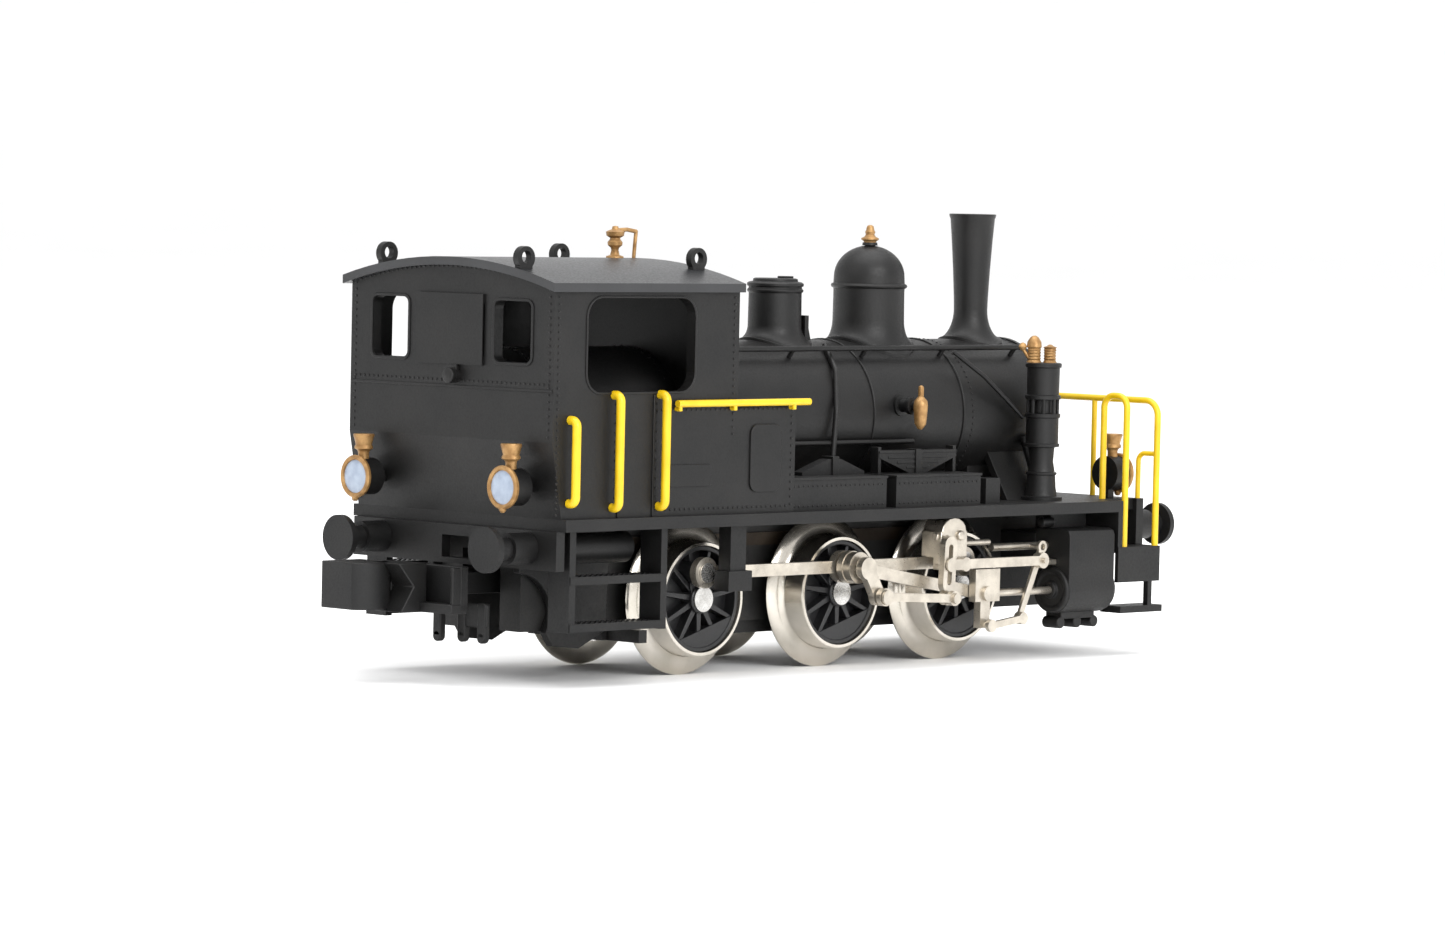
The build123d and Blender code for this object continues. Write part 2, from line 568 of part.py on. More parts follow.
STEP_PLATE_T = 0.35
with BuildPart() as footsteps:
    for side in (-1, 1):
        outer = side * CAB_Y
        inner = side * (CAB_Y - 1.6)
        y0, y1 = min(outer, inner), max(outer, inner)
        # rear steps: two treads between two hangers under the cab
        for x in (-21.4, -14.6):
            block(x, x + 0.45, y0, y0 + 1.6, 3.0, BOARD_Z0)
        for z in (3.1, 5.6):
            block(-21.4, -14.15, y0, y1, z, z + STEP_PLATE_T)
        # front steps: an apron under the front deck with a lower tread on a post
        y2, y3 = beside(side, 6.9, 8.45)
        block(22.3, 26.0, y2, y3, 6.0, 6.35)
        block(22.3, 26.0, *beside(side, 8.2, 8.45), 4.3, 6.0)
        block(22.3, 22.7, *beside(side, 6.9, 8.4), 6.35, BOARD_Z0)
        block(25.0, 25.35, *beside(side, 8.1, 8.45), 2.9, 4.3)
        block(22.6, 26.3, y2, y3, 2.5, 2.9)
        # pillar with its foot between the rear and middle wheels, and blocks beside the treads
        block(-8.9, -7.7, *beside(side, 6.7, 7.6), 5.9, BOARD_Z0)
        block(-9.2, -7.4, *beside(side, 6.7, 7.8), 4.8, 5.9)
        drum_x(-19.9, -15.4, side * 5.9, 7.35, 0.85)
        block(-19.2, -16.2, *beside(side, 5.7, 6.1), 8.1, BOARD_Z0)
footsteps.part.label = "footsteps"
export_step(footsteps.part, "parts/footsteps.step")

HAND_R = 0.19
GRAB_R = 0.24
HAND_Y = CAB_Y + 0.55
CAB_RAILS = ((-21.6, 9.9, 14.3), (-18.4, 9.6, 15.6), (-14.95, 9.6, 15.6))
with BuildPart() as cab_handrails:
    for side in (-1, 1):
        for x, z0, z1 in CAB_RAILS:
            wall_y = side * (CAB_Y + 0.01)
            bent_rod([(x, wall_y, z0), (x, side * HAND_Y, z0), (x, side * HAND_Y, z1), (x, wall_y, z1)],
                     GRAB_R, 0.35)
        drum_x(-13.9, -3.7, side * (CAB_Y + 0.3), TANK_TOP_Z + 0.05, HAND_R)
        for x in (-13.7, -9.5, -4.9):
            drum_y(x, side * CAB_Y, side * (CAB_Y + 0.3), TANK_TOP_Z - 0.25, 0.12)
            drum_z(x, side * (CAB_Y + 0.3), TANK_TOP_Z - 0.35, TANK_TOP_Z, 0.12)
cab_handrails.part.label = "cab_handrails"
export_step(cab_handrails.part, "parts/cab_handrails.step")

RAILING_X = 25.8
RAILING_Y = 8.2
RAILING_TOP_Z = 14.8
STEP_TOP_Z = 6.35
with BuildPart() as front_railings:
    # one rail across the front, down to the step at each side, on two legs
    bent_rod(
        [(RAILING_X, -RAILING_Y, STEP_TOP_Z), (RAILING_X, -RAILING_Y, RAILING_TOP_Z),
         (RAILING_X, RAILING_Y, RAILING_TOP_Z), (RAILING_X, RAILING_Y, STEP_TOP_Z)], HAND_R, 0.9)
    for side in (-1, 1):
        drum_z(RAILING_X, side * 3.3, BOARD_Z, RAILING_TOP_Z, HAND_R - 0.03)
        # small loop beside the lamp, and the inverted U behind it
        bent_rod([(RAILING_X, side * RAILING_Y, 11.7), (RAILING_X, side * 6.8, 11.7),
                  (RAILING_X, side * 6.8, BOARD_Z)], 0.15, 0.5)
        bent_rod([(23.05, side * RAILING_Y, STEP_TOP_Z), (23.05, side * RAILING_Y, 15.1),
                  (23.05, side * 6.45, 15.1), (23.05, side * 6.45, BOARD_Z)], HAND_R, 0.7)
front_railings.part.label = "front_railings"
export_step(front_railings.part, "parts/front_railings.step")

# ---- frame, drive and what hangs below ----
FRAME_X = (-20.3, 22.3)
FRAME_Y = 3.1
FRAME_Z0 = 2.7
MOTOR_X = (-18.1, -10.6)
MOTOR_R = 3.05
SHAFT_R = 0.4
with BuildPart() as chassis_frame:
    block(*FRAME_X, -FRAME_Y, FRAME_Y, FRAME_Z0, BOARD_Z0)
    # gear well, motor seat, axle slots and the coupler pocket
    block(-0.9, 4.8, -1.0, 1.0, FRAME_Z0, BOARD_Z0, mode=Mode.SUBTRACT)
    for axle in AXLE_X:
        block(axle - AXLE_R - 0.05, axle + AXLE_R + 0.05, -FRAME_Y, FRAME_Y, FRAME_Z0, AXLE_Z,
              mode=Mode.SUBTRACT)
        drum_y(axle, -FRAME_Y, FRAME_Y, AXLE_Z, AXLE_R + 0.05, mode=Mode.SUBTRACT)
    block(FRAME_X[0], -14.6, -1.5, 1.5, FRAME_Z0, 7.0, mode=Mode.SUBTRACT)
chassis_frame.part.label = "chassis_frame"
export_step(chassis_frame.part, "parts/chassis_frame.step")

with BuildPart() as keeper_plate:
    block(-14.0, 17.0, -2.9, 2.9, 2.0, FRAME_Z0)
    block(-0.7, 4.6, -0.9, 0.9, 2.0, FRAME_Z0, mode=Mode.SUBTRACT)
    for axle in AXLE_X:
        drum_y(axle, -3, 3, AXLE_Z, AXLE_R + 0.2, mode=Mode.SUBTRACT)
    # brake hangers ahead of the rear wheels, and the pillar under the board
    for side in (-1, 1):
        block(-13.6, -13.0, *beside(side, 2.9, 5.4), 2.0, 2.7)
keeper_plate.part.label = "keeper_plate"
export_step(keeper_plate.part, "parts/keeper_plate.step")

with BuildPart() as motor:
    drum_x(*MOTOR_X, 0, WORM_Z, MOTOR_R)
    drum_x(MOTOR_X[0] - 0.6, MOTOR_X[0], 0, WORM_Z, 1.6)
    drum_x(MOTOR_X[0] - 1, MOTOR_X[1] + 1, 0, WORM_Z, SHAFT_R + 0.08, mode=Mode.SUBTRACT)
    block(MOTOR_X[0] + 1, MOTOR_X[1] - 1, -1.4, 1.4, BOARD_Z0, WORM_Z - MOTOR_R + 0.4)
motor.part.label = "motor"
export_step(motor.part, "parts/motor.step")

with BuildPart() as worm_shaft:
    drum_x(MOTOR_X[0] - 0.65, 6.0, 0, WORM_Z, SHAFT_R)
    drum_x(-0.2, 4.1, 0, WORM_Z, 0.85)
    drum_x(-10.45, -9.8, 0, WORM_Z, 2.4)
worm_shaft.part.label = "worm_shaft"
export_step(worm_shaft.part, "parts/worm_shaft.step")


def gear_outline(x, z):
    # A spur gear drawn in the XZ plane: square-cut teeth on a root circle.
    with BuildSketch(Plane.XZ.offset(-GEAR_HALF_W)) as outline:
        with Locations((x, z)):
            Circle(GEAR_R - 0.28)
        with Locations((x, z)):
            with PolarLocations(GEAR_R - 0.2, GEAR_TEETH):
                Rectangle(0.4, 0.26)
    return outline.sketch


with BuildPart() as idler_gear:
    extrude(gear_outline(AXLE_X[1], IDLER_Z), amount=2 * GEAR_HALF_W)
    drum_y(AXLE_X[1], -GEAR_HALF_W, GEAR_HALF_W, IDLER_Z, 0.45, mode=Mode.SUBTRACT)
idler_gear.part.label = "idler_gear"
export_step(idler_gear.part, "parts/idler_gear.step")

PICKUP_Y = (3.1, 3.3)
with BuildPart() as pickup_strips:
    for side in (-1, 1):
        y0, y1 = beside(side, PICKUP_Y[0], PICKUP_Y[1])
        block(-12.5, 15.0, y0, y1, 6.9, 7.6)
        for axle in AXLE_X:
            block(axle + 1.6, axle + 2.0, *beside(side, PICKUP_Y[0], 3.68),
                  6.2, 6.9)
pickup_strips.part.label = "pickup_strips"
export_step(pickup_strips.part, "parts/pickup_strips.step")

with BuildPart() as screws:
    for x in (-12.0, 15.6):
        drum_z(x, 0, 1.75, 2.0, 0.7)
        block(x - 0.7, x + 0.7, -0.1, 0.1, 1.75, 1.85, mode=Mode.SUBTRACT)
    drum_y(AXLE_X[1], -1.0, 1.0, IDLER_Z, 0.4)
screws.part.label = "screws"
export_step(screws.part, "parts/screws.step")

# ---- cylinders, slide bars and motion brackets ----
with BuildPart() as cylinders:
    for side in (-1, 1):
        drum_x(*CYLINDER_X, side * CYLINDER_Y, CYLINDER_Z, CYLINDER_R)
        drum_x(CYLINDER_X[0] - 0.3, CYLINDER_X[0], side * CYLINDER_Y, CYLINDER_Z, CYLINDER_R - 0.25)
        drum_x(CYLINDER_X[1], CYLINDER_X[1] + 0.3, side * CYLINDER_Y, CYLINDER_Z, CYLINDER_R - 0.2)
        block(*CYLINDER_X, *beside(side, 5.8, 8.5), 4.9, 7.5)
        block(CYLINDER_X[0], CYLINDER_X[1], *beside(side, FRAME_Y, 5.8), 5.6, 7.2)
        block(18.4, 21.5, *beside(side, 5.4, 6.6), 7.5, BOARD_Z0)
        # drain cock flange
        block(18.2, 21.7, *beside(side, 6.2, 7.6), 2.0, 2.9)
        drum_x(CYLINDER_X[0] - 1, CYLINDER_X[0] + 3.5, side * CYLINDER_Y, CYLINDER_Z, PISTON_ROD_R + 0.06,
               Mode.SUBTRACT)
    for side in (-1, 1):
        drum_x(17, 20.6, side * SPINDLE_Y, LINK_Z + VALVE_RISE, SPINDLE_R + 0.06, Mode.SUBTRACT)
cylinders.part.label = "cylinders"
export_step(cylinders.part, "parts/cylinders.step")

BRACKET_X = (8.0, 10.2)
SLIDE_Z = (5.4, 5.75)
with BuildPart() as motion_brackets:
    for side in (-1, 1):
        block(*BRACKET_X, *beside(side, 6.1, 7.6), 6.2, BOARD_Z0)
        block(BRACKET_X[0], CYLINDER_X[0], *beside(side, 7.0, 7.5), *SLIDE_Z)
        block(BRACKET_X[0], BRACKET_X[1], *beside(side, 7.0, 7.5), SLIDE_Z[1], 6.2)
motion_brackets.part.label = "motion_brackets"
export_step(motion_brackets.part, "parts/motion_brackets.step")


# ---- wheelsets ----
def crank_pin_place(axle, deg, radius=CRANK_R):
    angle = math.radians(deg)
    return axle + radius * math.cos(angle), AXLE_Z + radius * math.sin(angle)


RIM_R = 2.75
HUB_R = 0.75
CENTRE_Y = (4.3, 5.5)
SIDES = ((-1, RIGHT_CRANK_DEG), (1, LEFT_CRANK_DEG))


def tyre(axle, side):
    drum_y(axle, side * (BACK_Y + FLANGE_W), side * FACE_Y, AXLE_Z, TREAD_R)
    drum_y(axle, side * BACK_Y, side * (BACK_Y + FLANGE_W), AXLE_Z, FLANGE_R)


WHEEL_NAMES = ("rear", "middle", "front")
for name, axle in zip(WHEEL_NAMES, AXLE_X):
    with BuildPart() as wheels:
        for side, crank_deg in SIDES:
            tyre(axle, side)
            pin_x, pin_z = crank_pin_place(axle, crank_deg)
            with BuildSketch(Plane((0, side * CENTRE_Y[1], 0), x_dir=(1, 0, 0), z_dir=(0, -1, 0))):
                with Locations((axle, AXLE_Z)):
                    Circle(RIM_R)
                with Locations((axle, AXLE_Z)):
                    Circle(HUB_R, mode=Mode.SUBTRACT)
            extrude(amount=-side * 0.2, mode=Mode.SUBTRACT)
            drum_y(pin_x, side * 5.2, side * 5.8, pin_z, 0.62)
        drum_y(axle, -FACE_Y - 1, FACE_Y + 1, AXLE_Z, AXLE_R - 0.05, mode=Mode.SUBTRACT)
    wheels.part.label = name + "_wheels"
    export_step(wheels.part, "parts/" + name + "_wheels.step")

    with BuildPart() as axle_part:
        drum_y(axle, -FACE_Y - 0.1, FACE_Y + 0.1, AXLE_Z, AXLE_R - 0.05)
        if name == "middle":
            extrude(gear_outline(axle, AXLE_Z), amount=2 * GEAR_HALF_W)
        pin_end = MAIN_BOSS_Y + 0.2 if name == "middle" else COUPLING_Y[1] + 0.12
        for side, crank_deg in SIDES:
            pin_x, pin_z = crank_pin_place(axle, crank_deg)
            drum_y(pin_x, side * 5.8, side * pin_end, pin_z, CRANK_PIN_R)
            if name != "middle":
                drum_y(pin_x, side * (COUPLING_Y[1] + 0.03), side * pin_end, pin_z, 0.55)
    axle_part.part.label = name + "_axle"
    export_step(axle_part.part, "parts/" + name + "_axle.step")

# ---- rods and valve gear, one set on each side ----
with BuildPart() as return_cranks:
    for side, crank_deg in SIDES:
        main_x, main_z = crank_pin_place(AXLE_X[1], crank_deg)
        pin_x, pin_z = crank_pin_place(AXLE_X[1], crank_deg - RETURN_LAG_DEG, RETURN_R)
        rod_plate(side, RETURN_Y, (main_x, main_z), (pin_x, pin_z), 0.42, 0.62, 0.5, 0, 0)
        drum_y(main_x, side * (MAIN_BOSS_Y + 0.2), side * RETURN_Y[0], main_z, 0.5)
        drum_y(pin_x, side * RETURN_Y[1], side * OUTER_PIN_Y, pin_z, 0.24)
        drum_y(pin_x, side * (ECCENTRIC_Y[1] + 0.05), side * OUTER_PIN_Y, pin_z, 0.42)
return_cranks.part.label = "return_cranks"
export_step(return_cranks.part, "parts/return_cranks.step")

for side_name, side, crank_deg in (("right", -1, RIGHT_CRANK_DEG), ("left", 1, LEFT_CRANK_DEG)):
    pins = [crank_pin_place(axle, crank_deg) for axle in AXLE_X]
    hole_r = CRANK_PIN_R + PIN_PLAY
    with BuildPart() as coupling_rod:
        rod_plate(side, COUPLING_Y, pins[0], pins[1], 0.34, 0.85, 0.9, hole_r, hole_r)
        rod_plate(side, COUPLING_Y, pins[1], pins[2], 0.34, 0.9, 0.85, hole_r, hole_r)
    coupling_rod.part.label = "coupling_rod_" + side_name
    export_step(coupling_rod.part, "parts/coupling_rod_" + side_name + ".step")

    main_x, main_z = pins[1]
    reach = math.sqrt(MAIN_ROD_LENGTH ** 2 - (main_z - CYLINDER_Z) ** 2)
    cross_x = main_x + reach
    with BuildPart() as main_rod:
        rod_plate(side, MAIN_Y, pins[1], (cross_x, CYLINDER_Z), 0.34, 0.92, 0.55, 0, 0.25)
        drum_y(main_x, side * MAIN_Y[0], side * MAIN_BOSS_Y, main_z, 0.88)
        drum_y(main_x, side * 6, side * 8, main_z, hole_r, mode=Mode.SUBTRACT)
    main_rod.part.label = "main_rod_" + side_name
    export_step(main_rod.part, "parts/main_rod_" + side_name + ".step")

    lever_foot_x = cross_x + 2.65
    lever_deg = math.degrees(math.asin((lever_foot_x - RADIUS_ROD_END_X) / LEVER_LENGTH))
    lever_top = (RADIUS_ROD_END_X - VALVE_RISE * math.sin(math.radians(lever_deg)), LINK_Z + VALVE_RISE)
    lever_foot = (lever_foot_x, LINK_Z - LEVER_LENGTH * math.cos(math.radians(lever_deg)))
    with BuildPart() as crosshead:
        y0 = min(side * 7.0, side * 7.5)
        block(cross_x - 0.95, cross_x + 1.1, y0, y0 + 0.5, CYLINDER_Z - 0.45, SLIDE_Z[0] - 0.05)
        block(cross_x - 0.5, cross_x + 0.3, y0, y0 + 0.5, 2.0, CYLINDER_Z)
        drum_y(cross_x, side * 7.5, side * 7.7, CYLINDER_Z, 0.42)
        drum_x(cross_x + 1.0, CYLINDER_X[0] + 1.2, side * CYLINDER_Y, CYLINDER_Z, PISTON_ROD_R)
        # union link on its pins, outboard of the drop arm
        drum_y(cross_x, side * 7.5, side * UNION_Y[0], UNION_Z, 0.2)
        rod_plate(side, UNION_Y, (cross_x, UNION_Z), lever_foot, 0.2, 0.36, 0.36, 0, 0)
    crosshead.part.label = "crosshead_" + side_name
    export_step(crosshead.part, "parts/crosshead_" + side_name + ".step")

    return_x, return_z = crank_pin_place(AXLE_X[1], crank_deg - RETURN_LAG_DEG, RETURN_R)
    right_return_x = crank_pin_place(AXLE_X[1], RIGHT_CRANK_DEG - RETURN_LAG_DEG, RETURN_R)[0]
    eccentric_length = LINK_X - 0.1 - right_return_x
    link_foot_x = return_x + eccentric_length
    link_deg = math.degrees(math.asin((link_foot_x - LINK_X) / LINK_ARM))
    link_foot_z = LINK_Z - LINK_ARM * math.cos(math.radians(link_deg))
    with BuildPart() as eccentric_rod:
        rod_plate(side, ECCENTRIC_Y, (return_x, return_z), (link_foot_x, link_foot_z), 0.24, 0.5, 0.42, 0.31, 0)
        drum_y(link_foot_x, side * 8.2, side * OUTER_PIN_Y, link_foot_z, 0.3)
    eccentric_rod.part.label = "eccentric_rod_" + side_name
    export_step(eccentric_rod.part, "parts/eccentric_rod_" + side_name + ".step")

    with BuildPart() as expansion_link:
        link_plane = Plane((LINK_X, side * 7.72, LINK_Z), x_dir=(1, 0, 0), z_dir=(0, -1, 0))
        with BuildSketch(link_plane):
            with Locations(Location((0, 0, 0), (0, 0, link_deg))):
                SlotOverall(3.2, 1.0, rotation=90)
            with Locations(Location((0, 0, 0), (0, 0, link_deg))):
                SlotOverall(2.3, 0.36, rotation=90, mode=Mode.SUBTRACT)
            with Locations((link_foot_x - LINK_X, link_foot_z - LINK_Z)):
                Circle(0.42)
        extrude(amount=-side * 0.4)
    expansion_link.part.label = "expansion_link_" + side_name
    export_step(expansion_link.part, "parts/expansion_link_" + side_name + ".step")

    with BuildPart() as combination_lever:
        rod_plate(side, LEVER_Y, lever_top, lever_foot, 0.2, 0.36, 0.36, 0.19, 0)
        drum_y(RADIUS_ROD_END_X, side * LEVER_Y[0], side * LEVER_Y[1], LINK_Z, 0.42)
        drum_y(RADIUS_ROD_END_X, side * 6, side * 8, LINK_Z, 0.22, mode=Mode.SUBTRACT)
    combination_lever.part.label = "combination_lever_" + side_name
    export_step(combination_lever.part, "parts/combination_lever_" + side_name + ".step")

    with BuildPart() as valve_spindle:
        drum_x(13.3, 19.5, side * SPINDLE_Y, LINK_Z + VALVE_RISE, SPINDLE_R)
        # the pin ends just short of the lever, as the two move on straight and round paths
        drum_y(lever_top[0], side * SPINDLE_Y, side * (LEVER_Y[0] - 0.04), lever_top[1], 0.12)
    valve_spindle.part.label = "valve_spindle_" + side_name
    export_step(valve_spindle.part, "parts/valve_spindle_" + side_name + ".step")

with BuildPart() as radius_rods:
    for side in (-1, 1):
        rod_plate(side, (8.16, 8.28), (LINK_X, LINK_Z), (LINK_X + 1.2, LINK_Z), 0.3, 0.4, 0.4, 0, 0)
        rod_plate(side, (7.75, 8.1), (LINK_X + 1.2, LINK_Z), (RADIUS_ROD_END_X, LINK_Z), 0.27, 0.35, 0.45, 0, 0)
        drum_y(RADIUS_ROD_END_X, side * LEVER_Y[0], side * 8.3, LINK_Z, 0.16)
radius_rods.part.label = "radius_rods"
export_step(radius_rods.part, "parts/radius_rods.step")

# ---- rear coupler ----
COUPLER_Z = (3.85, 6.45)
with BuildPart() as coupler_head:
    with BuildSketch(Plane.XY.offset(COUPLER_Z[0])):
        with BuildLine():
            Polyline((-24.2, -3.2), (-25.2, -3.2), (-26.2, -1.2), (-28.0, -0.6),
                     (COUPLER_TIP_X, 0.4), (COUPLER_TIP_X, 3.2),
                     (-24.2, 3.2), (-24.2, 0.8), (-24.2, -3.2))
        make_face()
    extrude(amount=COUPLER_Z[1] - COUPLER_Z[0])
    block(-24.2, -18.6, -0.7, 0.7, 4.6, 5.9)
coupler_head.part.label = "coupler_head"
export_step(coupler_head.part, "parts/coupler_head.step")

SPRING_COIL_R = 0.55
SPRING_WIRE_R = 0.1
with BuildPart() as coupler_spring:
    drum_x(-18.55, -15.9, 0, 5.25, SPRING_COIL_R + SPRING_WIRE_R)
    drum_x(-18.6, -15.8, 0, 5.25, SPRING_COIL_R - SPRING_WIRE_R, mode=Mode.SUBTRACT)
coupler_spring.part.label = "coupler_spring"
export_step(coupler_spring.part, "parts/coupler_spring.step")
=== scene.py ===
import math
import bmesh
import bpy
from mathutils import Matrix, Vector


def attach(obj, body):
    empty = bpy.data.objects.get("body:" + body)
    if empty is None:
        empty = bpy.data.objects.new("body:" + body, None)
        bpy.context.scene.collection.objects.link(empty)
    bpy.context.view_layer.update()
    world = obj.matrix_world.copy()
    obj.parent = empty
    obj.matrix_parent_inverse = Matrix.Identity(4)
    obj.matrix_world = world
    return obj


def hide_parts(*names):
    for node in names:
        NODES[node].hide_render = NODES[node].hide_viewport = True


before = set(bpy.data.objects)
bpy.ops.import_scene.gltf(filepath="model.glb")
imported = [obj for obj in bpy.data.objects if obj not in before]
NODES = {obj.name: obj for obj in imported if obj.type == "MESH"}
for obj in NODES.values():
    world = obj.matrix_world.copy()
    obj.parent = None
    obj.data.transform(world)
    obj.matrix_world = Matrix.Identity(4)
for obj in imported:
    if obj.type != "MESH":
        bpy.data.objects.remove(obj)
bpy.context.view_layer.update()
MM = 0.001


# ---- materials: every one is procedural, in object space ----
def new_material(name):
    material = bpy.data.materials.new(name)
    material.use_nodes = True
    tree = material.node_tree
    shader = tree.nodes["Principled BSDF"]
    return material, tree, shader


def noise(tree, scale_mm, detail=4.0, stretch=(1, 1, 1)):
    """A noise texture whose grain is scale_mm across, in object space."""
    coords = tree.nodes.new("ShaderNodeTexCoord")
    mapping = tree.nodes.new("ShaderNodeMapping")
    mapping.inputs["Scale"].default_value = stretch
    texture = tree.nodes.new("ShaderNodeTexNoise")
    texture.inputs["Scale"].default_value = 1 / (scale_mm * MM)
    texture.inputs["Detail"].default_value = detail
    tree.links.new(coords.outputs["Object"], mapping.inputs["Vector"])
    tree.links.new(mapping.outputs["Vector"], texture.inputs["Vector"])
    return texture.outputs["Fac"]


def ramp(tree, factor, low, high, start=0.35, end=0.65):
    """The factor as a colour that runs from low to high."""
    colours = tree.nodes.new("ShaderNodeValToRGB")
    colours.color_ramp.elements[0].position = start
    colours.color_ramp.elements[0].color = (*low, 1)
    colours.color_ramp.elements[1].position = end
    colours.color_ramp.elements[1].color = (*high, 1)
    tree.links.new(factor, colours.inputs["Fac"])
    return colours.outputs["Color"]


def spread(tree, factor, low, high):
    """The factor as a number that runs from low to high."""
    scale = tree.nodes.new("ShaderNodeMapRange")
    scale.inputs["From Min"].default_value = 0.3
    scale.inputs["From Max"].default_value = 0.7
    scale.inputs["To Min"].default_value = low
    scale.inputs["To Max"].default_value = high
    tree.links.new(factor, scale.inputs["Value"])
    return scale.outputs["Result"]


def bump(tree, shader, factor, height_mm, strength=1.0):
    node = tree.nodes.new("ShaderNodeBump")
    node.inputs["Strength"].default_value = strength
    node.inputs["Distance"].default_value = height_mm * MM
    tree.links.new(factor, node.inputs["Height"])
    tree.links.new(node.outputs["Normal"], shader.inputs["Normal"])


def finish_material(name, low, high, roughness, metallic=0.0, cloud_mm=3.0, grain_mm=0.12,
                    height_mm=0.004, coat=0.0, stretch=(1, 1, 1), specular=0.5):
    """Colour drifts in clouds cloud_mm across; roughness and bump follow a fine grain."""
    material, tree, shader = new_material(name)
    clouds = noise(tree, cloud_mm)
    grain = noise(tree, grain_mm, 3.0, stretch)
    tree.links.new(ramp(tree, clouds, low, high), shader.inputs["Base Color"])
    tree.links.new(spread(tree, grain, *roughness), shader.inputs["Roughness"])
    shader.inputs["Metallic"].default_value = metallic
    shader.inputs["Coat Weight"].default_value = coat
    shader.inputs["Specular IOR Level"].default_value = specular
    bump(tree, shader, grain, height_mm)
    return material


BLACK = finish_material("satin_black", (0.0035, 0.0035, 0.0036), (0.0068, 0.0064, 0.0062), (0.38, 0.54),
                        specular=0.34)
ROOF = finish_material("roof_black", (0.012, 0.0125, 0.014), (0.019, 0.02, 0.022), (0.32, 0.46), specular=0.6)
PLASTIC = finish_material("moulded_black", (0.004, 0.004, 0.0042), (0.0075, 0.0072, 0.007), (0.4, 0.58),
                          specular=0.34)
SPOKE_BLACK = finish_material("wheel_black", (0.006, 0.006, 0.0065), (0.011, 0.011, 0.012), (0.3, 0.48))
IRON = finish_material("blackened_metal", (0.012, 0.012, 0.012), (0.022, 0.021, 0.02), (0.4, 0.6), 0.4)
BRASS = finish_material("bronze_paint", (0.24, 0.125, 0.04), (0.42, 0.245, 0.095), (0.34, 0.52), 0.5, 0.5,
                        0.1, 0.012)
YELLOW = finish_material("yellow_paint", (0.66, 0.42, 0.004), (0.76, 0.50, 0.010), (0.3, 0.42), 0.0, 1.2,
                         0.15, 0.006)
NICKEL = finish_material("nickel_silver", (0.46, 0.42, 0.36), (0.62, 0.57, 0.49), (0.26, 0.38), 0.9, 0.9,
                         0.09, 0.002)
STEEL = finish_material("bright_steel", (0.45, 0.44, 0.42), (0.66, 0.65, 0.63), (0.18, 0.34), 0.95, 0.8,
                        0.08, 0.004)
TYRE = finish_material("tyre_nickel", (0.50, 0.47, 0.41), (0.62, 0.58, 0.52), (0.16, 0.26), 1.0, 1.5, 0.1,
                       0.001,
                       stretch=(1, 6, 1))
LENS = finish_material("lens", (0.27, 0.32, 0.41), (0.35, 0.41, 0.50), (0.16, 0.26), 0.0, 0.5, 0.2, 0.004,
                       0.3)
DARK_BRONZE = finish_material("tarnished_bronze", (0.02, 0.013, 0.008), (0.04, 0.027, 0.016), (0.45, 0.6),
                              0.5)
GEAR = finish_material("gear_plastic", (0.02, 0.02, 0.02), (0.03, 0.03, 0.03), (0.4, 0.5))

NODE_MATERIALS = {
    "cab_roof": ROOF, "whistle": BRASS, "safety_valve": BRASS, "clack_valves": BRASS, "lubricators": BRASS,
    "lamp_rims": BRASS, "lamp_lenses": LENS, "cab_handrails": YELLOW, "front_railings": YELLOW,
    "return_cranks": NICKEL, "radius_rods": NICKEL, "motion_brackets": NICKEL, "pickup_strips": DARK_BRONZE,
    "screws": STEEL, "motor": STEEL, "worm_shaft": STEEL, "rear_axle": STEEL, "middle_axle": STEEL,
    "front_axle": STEEL, "idler_gear": GEAR, "chassis_frame": IRON, "coupler_head": PLASTIC,
    "keeper_plate": PLASTIC, "cylinders": PLASTIC, "footsteps": PLASTIC, "buffers": PLASTIC,
    "running_board": PLASTIC, "tool_boxes": PLASTIC,
}
NICKEL_NODES = ("coupling_rod", "main_rod", "eccentric_rod", "crosshead", "expansion_link",
                "combination_lever", "valve_spindle")


CAD_EDGE_MM, CAD_EDGE_DEG = 0.05, 35


def dress(node, material):
    """Gives a CAD node its material, and rounds its edges slightly."""
    shape = NODES[node]
    if not shape.data.materials:
        shape.data.materials.append(material)
    for holder in shape.material_slots:
        holder.material = material
    rounding = shape.modifiers.new("edges", "BEVEL")
    rounding.width = CAD_EDGE_MM * MM
    rounding.segments = 2
    rounding.limit_method = "ANGLE"
    rounding.angle_limit = math.radians(CAD_EDGE_DEG)
    rounding.harden_normals = False


for node in NODES:
    dress(node, NODE_MATERIALS.get(node, NICKEL if node.startswith(NICKEL_NODES) else BLACK))


